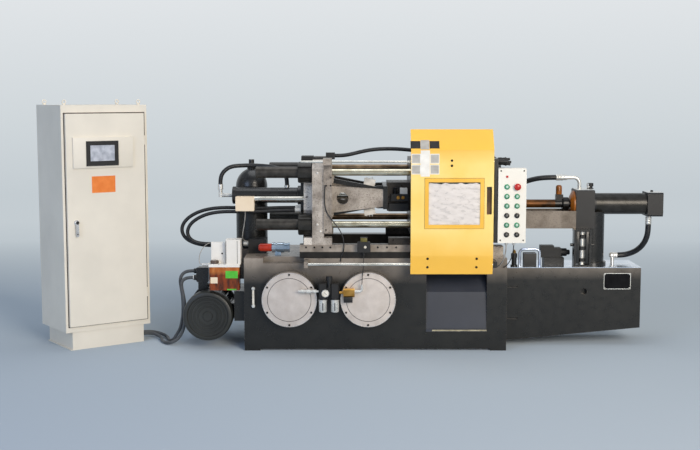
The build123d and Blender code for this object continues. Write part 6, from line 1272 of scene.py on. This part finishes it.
class CASTING_OT_button_box(bpy.types.Operator):
    """Push-button box with its buttons, stop mushroom and lamp"""
    bl_idname = "casting.button_box"
    bl_label = "Button box"

    COLUMNS_MM = (995, 1060)
    TOP_ROW_MM = 1086
    PITCH_MM = 61
    ROWS = ("gs", "gg", "gg", "kk", "gg", "kk")
    FACE_MM = -490

    def execute(self, context):
        # Powder coat: warm white with a fine orange peel
        white = kept(sprayed_paint, "White powder coat", colours().button_box,
            darker(colours().button_box, 0.94), rough=0.4)
        paint_nodes(white, "button_box")
        kinds = {"g": [], "k": [], "s": []}
        for row, letters in enumerate(self.ROWS):
            for x, letter in zip(self.COLUMNS_MM, letters):
                kinds[letter].append(at(x, self.FACE_MM, self.TOP_ROW_MM - row * self.PITCH_MM, FRONT))
        green = self.cap_plastic("Green button ring", "#2E9468", "#1F7A52")
        # Caps painted paler than their rings: a painted highlight on each domed cap, mint on green buttons
        # and grey on black
        green_cap_highlight = self.cap_plastic("Green cap, painted highlight", "#BFD9CB", "#9CC4B0")
        black_cap_highlight = self.cap_plastic("Black cap, painted highlight", "#6A6866", "#4C4A48")
        black = self.cap_plastic("Black button cap", "#161617", "#0E0E0F")
        red = self.cap_plastic("Red stop mushroom", "#C4231C", "#9C1712")
        first = fit(self.ring(), kinds["g"], "green_button_rings", green)
        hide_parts("push_buttons")
        fit(self.cap(), kinds["g"], "green_caps_highlight", green_cap_highlight)
        fit(self.ring(), kinds["k"], "black_button_rings", black)
        fit(self.cap(), kinds["k"], "black_caps_highlight", black_cap_highlight)
        fit(self.mushroom(), kinds["s"], "stop_button", red)
        fit(turned([(0, 21), (3, 21), (4, 20), (4, 12)], 32), kinds["s"], "stop_seat",
            self.cap_plastic("Pale stop seat", "#E9D9D4", "#D9BFB8"))
        fit(turned([(0, 8), (2, 8), (4.5, 6.4), (6, 3)], 20), [at(995, self.FACE_MM, 1150, FRONT)],
            "signal_lamp", red)
        corners = [at(x, self.FACE_MM, z, FRONT) for x in (956, 1102) for z in (745, 1187)]
        fit(button_screw(5), corners, "box_screws", black_oxide())
        self.plugs()
        self.glands()
        return {"FINISHED"}

    def plugs(self):
        """Black cable plugs that stand out from the post above the box."""
        plug = turned([
            (0, 12), (12, 12), (12, 15), (34, 15), (34, 12.5), (58, 12.5), (58, 14), (64, 14), (64, 9),
            (88, 7.5),
        ], 20)
        places = [
            at(939, y, z) @ Matrix.Rotation(math.radians(dip), 4, "Y") @ RIGHT
            for y, z, dip in ((-430, 1246, 4), (-398, 1238, 10), (-372, 1250, -4))
        ]
        fit(plug, places, "cable_plugs", black_plastic())

    def glands(self):
        """Glands of the leads under the box."""
        gland = turned([(0, 12), (8, 12), (8, 9), (18, 8), (20, 6)], 20)
        places = [at(x, -448, 728, DOWN) for x in (1000, 1048)]
        fit(gland, places, "box_glands", zinc_plate())

    def cap_plastic(self, name, colour, shade):
        """Gloss-moulded button plastic."""
        return moulded_plastic(name, linear(colour), linear(shade), rough=0.22)

    def cap(self):
        """Button cap that crowns above its ring."""
        return turned([(0, 9), (8, 9), (9.6, 8.2), (10.6, 6.4), (11, 3)], 28)

    def ring(self):
        """Bezel ring round a button."""
        return turned([(0, 17), (5, 17), (8, 15.6), (9, 13.5), (9, 10.5), (6.5, 9.6)], 28)

    def mushroom(self):
        """Stop mushroom: a neck under a domed head."""
        return turned([
            (0, 13), (6, 13), (7, 11), (13, 11), (14, 21), (17, 22), (21, 20.5), (24.5, 15), (26, 7),
        ], 32)


class CASTING_OT_injection_unit(bpy.types.Operator):
    """Shot sleeve, injection frame, head, cylinder, column and jack"""
    bl_idname = "casting.injection_unit"
    bl_label = "Injection unit"

    def execute(self, context):
        paint_nodes(unit_enamel(), "support_column", "jack_screw")
        black, paler_layer = ("#18181A", "#121214", 0.46, 0.0), ("#E9E9E6", "#C4C4C0", 0.3, 0.6)
        # Dull black enamel, with its top painted pale as a painted highlight
        paint_nodes(two_finishes(
            "Black enamel, cap top painted highlight", black, paler_layer, "Z", 1013.4, 1015, relief=0.08), "injection_cylinder")
        # The same on the head, its top a painted highlight too
        paint_nodes(two_finishes(
            "Black enamel, head top painted highlight", black, paler_layer, "Z", 1032, 1035, relief=0.08), "injection_head")
        # Casting browned by heat and oil: mid brown-grey
        beam = milled_casting(
            "Browned frame casting", linear("#857C73"), linear("#5E554C"), linear("#332D28"), rough=0.4)
        paint_nodes(beam, "injection_frame", "shot_sleeve")
        # Heat-browned rod, oil-black coupling
        paint_nodes(two_finishes(
            "Browned rod, black coupling", ("#6A3F12", "#35220F", 0.42, 0.55),
            ("#201D1A", "#141210", 0.3, 0.2),
            "X", 1379, 1385), "injection_rod")
        # Heat-darkened orange enamel, fairly glossy
        orange = sprayed_paint("Orange flange enamel", linear("#A8611F"), linear("#6E3C12"), rough=0.32)
        paint_nodes(orange, "injection_flange")
        # Bright drawn tube, mirror-like; its cold blue-white is a painted reflection of the pale room
        paint_nodes(kept(bare_steel, "Blued bright tube", "#E6EEFA", "#A9B8D6", rough=0.16, relief=0.05,
            metallic=0.7), "steel_loop")
        fit(open_ring(71.3, 69.5, 356.6), [at(1636.2, 0, 935, RIGHT)], "cylinder_skin",
            bpy.data.materials["Smooth black sleeve enamel"])
        self.amber_cap()
        self.jack()
        self.deck_fittings()
        return {"FINISHED"}

    def amber_cap(self):
        """Amber cap of the striker, which rides on the piston rod."""
        cap = turned([(0, 20.7), (48, 20.7), (56, 18.6), (61, 13), (62.4, 5)], 28)
        # Clear cap: brown amber and glossy
        amber = kept(moulded_plastic, "Amber cap plastic", "#9C5C1C", "#5A3210", rough=0.16)
        fit(cap, [at(1410, 0, 999)], "striker_cap", amber, SHOT_PISTON)

    def jack(self):
        """Bright thread of the jack, and the black plates on both sides of it."""
        steps = [(0, 15.4)]
        for turn in range(32):
            steps += [(7 * turn + 2, 16.6), (7 * turn + 5, 16.6), (7 * turn + 7, 15.4)]
        fit(turned(steps, 20), [at(1547, -135, 537)], "jack_thread", zinc_plate())
        fit(slab(22, 214, 46, corner_mm=3, edge_mm=2), [at(x, -111, 654, FRONT) for x in (1515, 1579)],
            "jack_plates", unit_enamel())

    def deck_fittings(self):
        """Pilot valve inside the bent tube, the check valve beside it and the cap's screw."""
        fit(slab(83, 62, 91, corner_mm=6, edge_mm=4), [at(1201.5, -120, 526)], "pilot_body",
            black_plastic())
        check = turned([
            (0, 24), (10, 24), (10, 17), (58, 17), (58, 21), (84, 21), (88, 16),
        ], 24)
        fit(check, [at(1098, -120, 526)], "check_valve", unit_enamel())
        nut = turned([(0, 13), (12, 13), (15, 10), (22, 8)], 6)
        fit(nut, [at(1098, -120, 614)], "check_valve_nut", cast_brass())
        plug = turned([(0, 22), (4, 22), (5, 15), (16, 15), (17, 20), (36, 20), (38, 18)], 24)
        fit(plug, [at(1622, 0, 1036)], "head_plug", black_plastic())
        fit(cap_screw(9), [at(2037, 0, 1016)], "cylinder_cap_screw", black_oxide())


# Motor, lubricator and air unit
LUBRICATOR_FACE_MM = -332


class CASTING_OT_side_units(bpy.types.Operator):
    """Accumulator, pump motor, lubricator, air unit and small boxes"""
    bl_idname = "casting.side_units"
    bl_label = "Motor, lubricator and air unit"

    def execute(self, context):
        paint_nodes(unit_enamel(), "accumulator", "motor", "motor_cowl", "terminal_box")
        # Sprayed enamel: clean warm white
        white = kept(sprayed_paint, "Lubricator enamel", "#F3EFE8", "#E6E0D6", rough=0.35)
        paint_nodes(white, "lubricator")
        paint_nodes(self.amber(), "lubricator_tank")
        # Sprayed enamel: warm cream with faint clouds
        cream = kept(sprayed_paint, "Cream box enamel", "#F6E4CA", "#EBD5B6", rough=0.4)
        paint_nodes(cream, "junction_box")
        paint_nodes(black_plastic(), "air_unit")
        # Yellow brass body, bright plated elbow
        paint_nodes(two_finishes(
            "Brass valve, plated elbow", ("#D9A85B", "#A87A38", 0.3, 1.0), ("#F2F1EC", "#D2D1CB", 0.26, 0.5),
            "X", 29, 31, relief=0.08), "air_valve")
        # Glossy red head, and a bright steel strainer painted blue-white as a painted reflection
        paint_nodes(two_finishes(
            "Red filter head, steel strainer", ("#D2412A", "#A32713", 0.3, 0.0),
            ("#DCE8F4", "#8FA3B6", 0.16, 0.8),
            "X", -517, -515), "oil_filter")
        self.cowl()
        self.air_fittings()
        self.lubricator_fittings()
        self.switch_fittings()
        return {"FINISHED"}

    def cowl(self):
        """Pressed fan cowl: bevelled rim, and rings pressed round the hub in its sunk face."""
        profile = [(8, 114), (0, 114), (0, 163), (84, 163), (96, 157), (100, 147), (100, 136), (97, 133),
            (90, 131)]
        for ring in (112, 88, 64):
            profile += [(90, ring + 6), (94, ring + 3), (94, ring - 3), (90, ring - 6)]
        profile += [(90, 34), (95, 30), (95, 10)]
        shell = copies(turned(profile, 96), [at(-933, -230, 222, FRONT)])
        # Black enamel under a film of dust: soft dark grey
        dull = kept(sprayed_paint, "Dusty black enamel", "#2E2F2C", "#232421", rough=0.42)
        cowl = finished(shell, "fan_cowl", dull)
        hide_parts("motor_cowl")

    def amber(self):
        """Amber see-through reservoir, darker where the oil stands."""
        material, tree, surface = blank_material("Amber reservoir", **{"IOR": 1.5, "Roughness": 0.12})
        streaks = grain(tree, 34, (1, 1, 0.35), detail=5)
        pale = spread(tree, streaks, linear("#A85A1E"), linear("#C98246"), 0.4, 0.62)
        oily = spread(tree, streaks, linear("#4A210C"), linear("#8E3F12"), 0.4, 0.62)
        tree.links.new(layered(tree, oily, pale, along(tree, "Z", 496, 520)), surface.inputs["Base Color"])
        return material

    def air_fittings(self):
        """Plated bowls with sight slots, the gauge, the quick coupler and the valve's coil."""
        bowl = turned([(-1, 17), (1, 23), (7, 25.8), (70, 25.8), (71, 27), (78, 27), (79, 25.8),
            (84, 25.8)], 32)
        fit(bowl, [at(x, -473, 279) for x in (-174, -97)], "air_bowls", zinc_plate())
        fit(slab(6, 50, 1.4, corner_mm=2.8), [at(x, -497.8, 316, FRONT) for x in (-174, -97)], "bowl_slots",
            black_plastic())
        rim = copies(turned([(0, 24.4), (3, 24.4), (4.5, 22), (2.6, 20.5)], 32),
            [at(-158, -508, 405, FRONT)])
        sleeve = turned([
            (0, 7.6), (18, 7.6), (18, 12.6), (40, 12.6), (40, 7.6), (52, 7.6), (52, 12.6), (82, 12.6),
            (82, 7.6), (96, 7.6), (96, 12.6), (116, 12.6), (116, 7.6), (130, 7.6),
        ], 20)
        coupler = copies(sleeve, [at(-331, -473, 413, RIGHT)])
        finished(joined([rim, coupler]), "gauge_rim_and_coupler", zinc_plate())
        white = bpy.data.materials["White scale strip"]
        fit(turned([(0, 20.4), (0.5, 20.4)], 32), [at(-158, -510.8, 405, FRONT)], "gauge_dial", white)
        tilted = Matrix.Rotation(math.radians(-50), 4, "Y")
        needle = copies(slab(2, 24, 0.6), [at(-158, -511.4, 405) @ tilted @ FRONT])
        coil = copies(slab(58, 37, 36, corner_mm=5, edge_mm=3), [at(-12, -455, 360.5, FRONT)])
        finished(joined([needle, coil]), "gauge_needle_and_coil", black_plastic())

    def lubricator_fittings(self):
        """Blank plates, seams, filler cap and outlet of the lubricator."""
        green = kept(moulded_plastic, "Green plate enamel", "#5CC63C", "#46AE2A", rough=0.4)
        plate = copies(slab(80, 48, 0.9, corner_mm=4), [at(-772, LUBRICATOR_FACE_MM, 500, FRONT)])
        strip = copies(slab(60, 8, 0.9, corner_mm=2), [at(-772, LUBRICATOR_FACE_MM, 402, FRONT)])
        finished(joined([plate, strip]), "green_plates", green)
        cream = bpy.data.materials["Cream box enamel"]
        fit(slab(46, 40, 0.9, corner_mm=3), [at(-887, LUBRICATOR_FACE_MM, 462, FRONT)], "small_plate",
            cream)
        seams = copies(slab(2.6, 148, 0.8), [at(x, -330, 646, FRONT) for x in (-807, -734)])
        screw = copies(button_screw(6), [at(-838, -278, 632, FRONT)])
        finished(joined([seams, screw]), "lubricator_seams", black_oxide())
        # Moulded cap, browned by oil
        brown = kept(moulded_plastic, "Brown cap plastic", "#6B584A", "#4A3B31", rough=0.4)
        cap = turned([(0, 25), (3, 27.8), (20, 27.8), (23, 26), (25, 20), (24, 12)], 24)
        fit(cap, [at(-885, -306, 567)], "filler_cap", brown)
        outlet = turned([(0, 13), (8, 13), (10, 9.4), (44, 8.6), (46, 6)], 20)
        gland = turned([(0, 18), (5, 18), (6, 15)], 20)
        fittings = copies(outlet, [at(-922, -281, 558, LEFT)])
        glands = copies(gland, [at(-1037, -180, 458, LEFT)])
        finished(joined([fittings, glands]), "outlet_and_gland", zinc_plate())

    def switch_fittings(self):
        """Pale boss and olive head plate of the limit switch."""
        pale = bpy.data.materials["White scale strip"]
        fit(turned([(0, 9), (5, 9), (6, 7.5), (3, 5.5)], 20), [at(98, -405, 690, FRONT)], "switch_boss",
            pale)
        # Moulded plastic: olive, even and satin
        olive = kept(moulded_plastic, "Olive moulded plastic", "#6E6423", "#4E4717", rough=0.4)
        fit(slab(42, 24, 3, corner_mm=3, edge_mm=1), [at(89.5, -405, 737, FRONT)], "switch_head_plate",
            olive)


class CASTING_OT_cabinet(bpy.types.Operator):
    """Control cabinet with its door, screen, lock and plate"""
    bl_idname = "casting.cabinet"
    bl_label = "Control cabinet"

    def execute(self, context):
        # Powder coat: cream, satin, faintly clouded
        cream = kept(sprayed_paint, "Cream powder coat", colours().cabinet, darker(colours().cabinet, 0.92),
            rough=0.45)
        paint_nodes(cream, "cabinet_shell", "cabinet_plinth", "cabinet_door")
        paint_nodes(zinc_plate(), "cabinet_plate")
        # Satin chrome: pale and evenly bright
        paint_nodes(moulded_plastic(
            "Satin chromed zinc", linear("#DEDFE0"), linear("#B9BABC"), rough=0.24,
            Metallic=0.55), "door_lock")
        self.screen()
        self.orange_plate()
        self.seal()
        self.lock_marks()
        return {"FINISHED"}

    def seal(self):
        """Dark rubber seal that shows round the door."""
        rubber = kept(moulded_plastic, "Brown-black seal rubber", "#4A382C", "#2E231C", rough=0.6)
        fit(open_frame(568, 1398, 1.6, 30), [on_cabinet(300, 0.2, 852.5)], "door_seal", rubber)

    def lock_marks(self):
        """Black key cover of the lock and the dark pin at the lever's end."""
        cover = copies(turned([(0, 11), (2.2, 11), (3, 9), (1.6, 4)], 24), [on_cabinet(80, -42, 843)])
        pin = copies(turned([(0, 4.5), (1.6, 4.5), (2.2, 3)], 16), [on_cabinet(80, -42, 768)])
        finished(joined([cover, pin]), "lock_cover", black_plastic(), LOCK_LEVER)

    def screen(self):
        """Raised panel, and the dark bezel with its glass seated on it."""
        cream = bpy.data.materials["Cream powder coat"]
        panel = copies(slab(418, 199, 16, corner_mm=3, edge_mm=2), [on_cabinet(273, DOOR_FACE_MM, 1292.5)])
        panel = finished(panel, "screen_panel_plate", cream, CABINET_LEAF)
        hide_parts("screen_panel")
        face = DOOR_FACE_MM - 16
        fit(frame_slab(223, 161, 7, 26, 1.5, corner_mm=3), [on_cabinet(263, face, 1287)], "screen_bezel",
            black_plastic(), CABINET_LEAF)
        # Glass of a screen that is off, painted pale grey: a painted reflection of the room
        shine = kept(moulded_plastic, "Dead screen glass", "#C9CCD4", "#A4A8B2", rough=0.12)
        fit(slab(168, 102, 0.8, corner_mm=1), [on_cabinet(263, face - 5.6, 1289)], "screen_glass", shine,
            CABINET_LEAF)

    def orange_plate(self):
        # Stove enamel: flat bright orange
        orange = kept(moulded_plastic, "Orange plate enamel", "#F2893A", "#E97B2B", rough=0.4)
        fit(slab(164, 108, 0.7, corner_mm=12), [on_cabinet(275, DOOR_FACE_MM, 1084)], "orange_plate",
            orange, CABINET_LEAF)


class CASTING_PT_machine(bpy.types.Panel):
    """Lists the groups of pieces with their colours and sizes"""
    bl_idname = "CASTING_PT_machine"
    bl_label = "Die Casting Machine"
    bl_space_type = "VIEW_3D"
    bl_region_type = "UI"
    bl_category = "Casting"

    def draw(self, context):
        for group in (context.scene.casting_colours, context.scene.casting_sizes):
            for name in group.__annotations__:
                self.layout.prop(group, name)
        for step in STEPS:
            self.layout.operator(step.bl_idname)


STEPS = (
    CASTING_OT_stage,
    CASTING_OT_hoses,
    CASTING_OT_bed,
    CASTING_OT_clamping_unit,
    CASTING_OT_guard,
    CASTING_OT_button_box,
    CASTING_OT_injection_unit,
    CASTING_OT_side_units,
    CASTING_OT_cabinet,
)
CLASSES = (CASTING_PG_colours, CASTING_PG_sizes, *STEPS, CASTING_PT_machine)


def register():
    for cls in CLASSES:
        bpy.utils.register_class(cls)
    bpy.types.Scene.casting_colours = bpy.props.PointerProperty(type=CASTING_PG_colours)
    bpy.types.Scene.casting_sizes = bpy.props.PointerProperty(type=CASTING_PG_sizes)


def unregister():
    del bpy.types.Scene.casting_colours
    del bpy.types.Scene.casting_sizes
    for cls in reversed(CLASSES):
        bpy.utils.unregister_class(cls)


def main():
    """Dress the whole machine."""
    register()
    for step in STEPS:
        group, operator = step.bl_idname.split(".")
        getattr(getattr(bpy.ops, group), operator)()


if __name__ == "__main__":
    main()
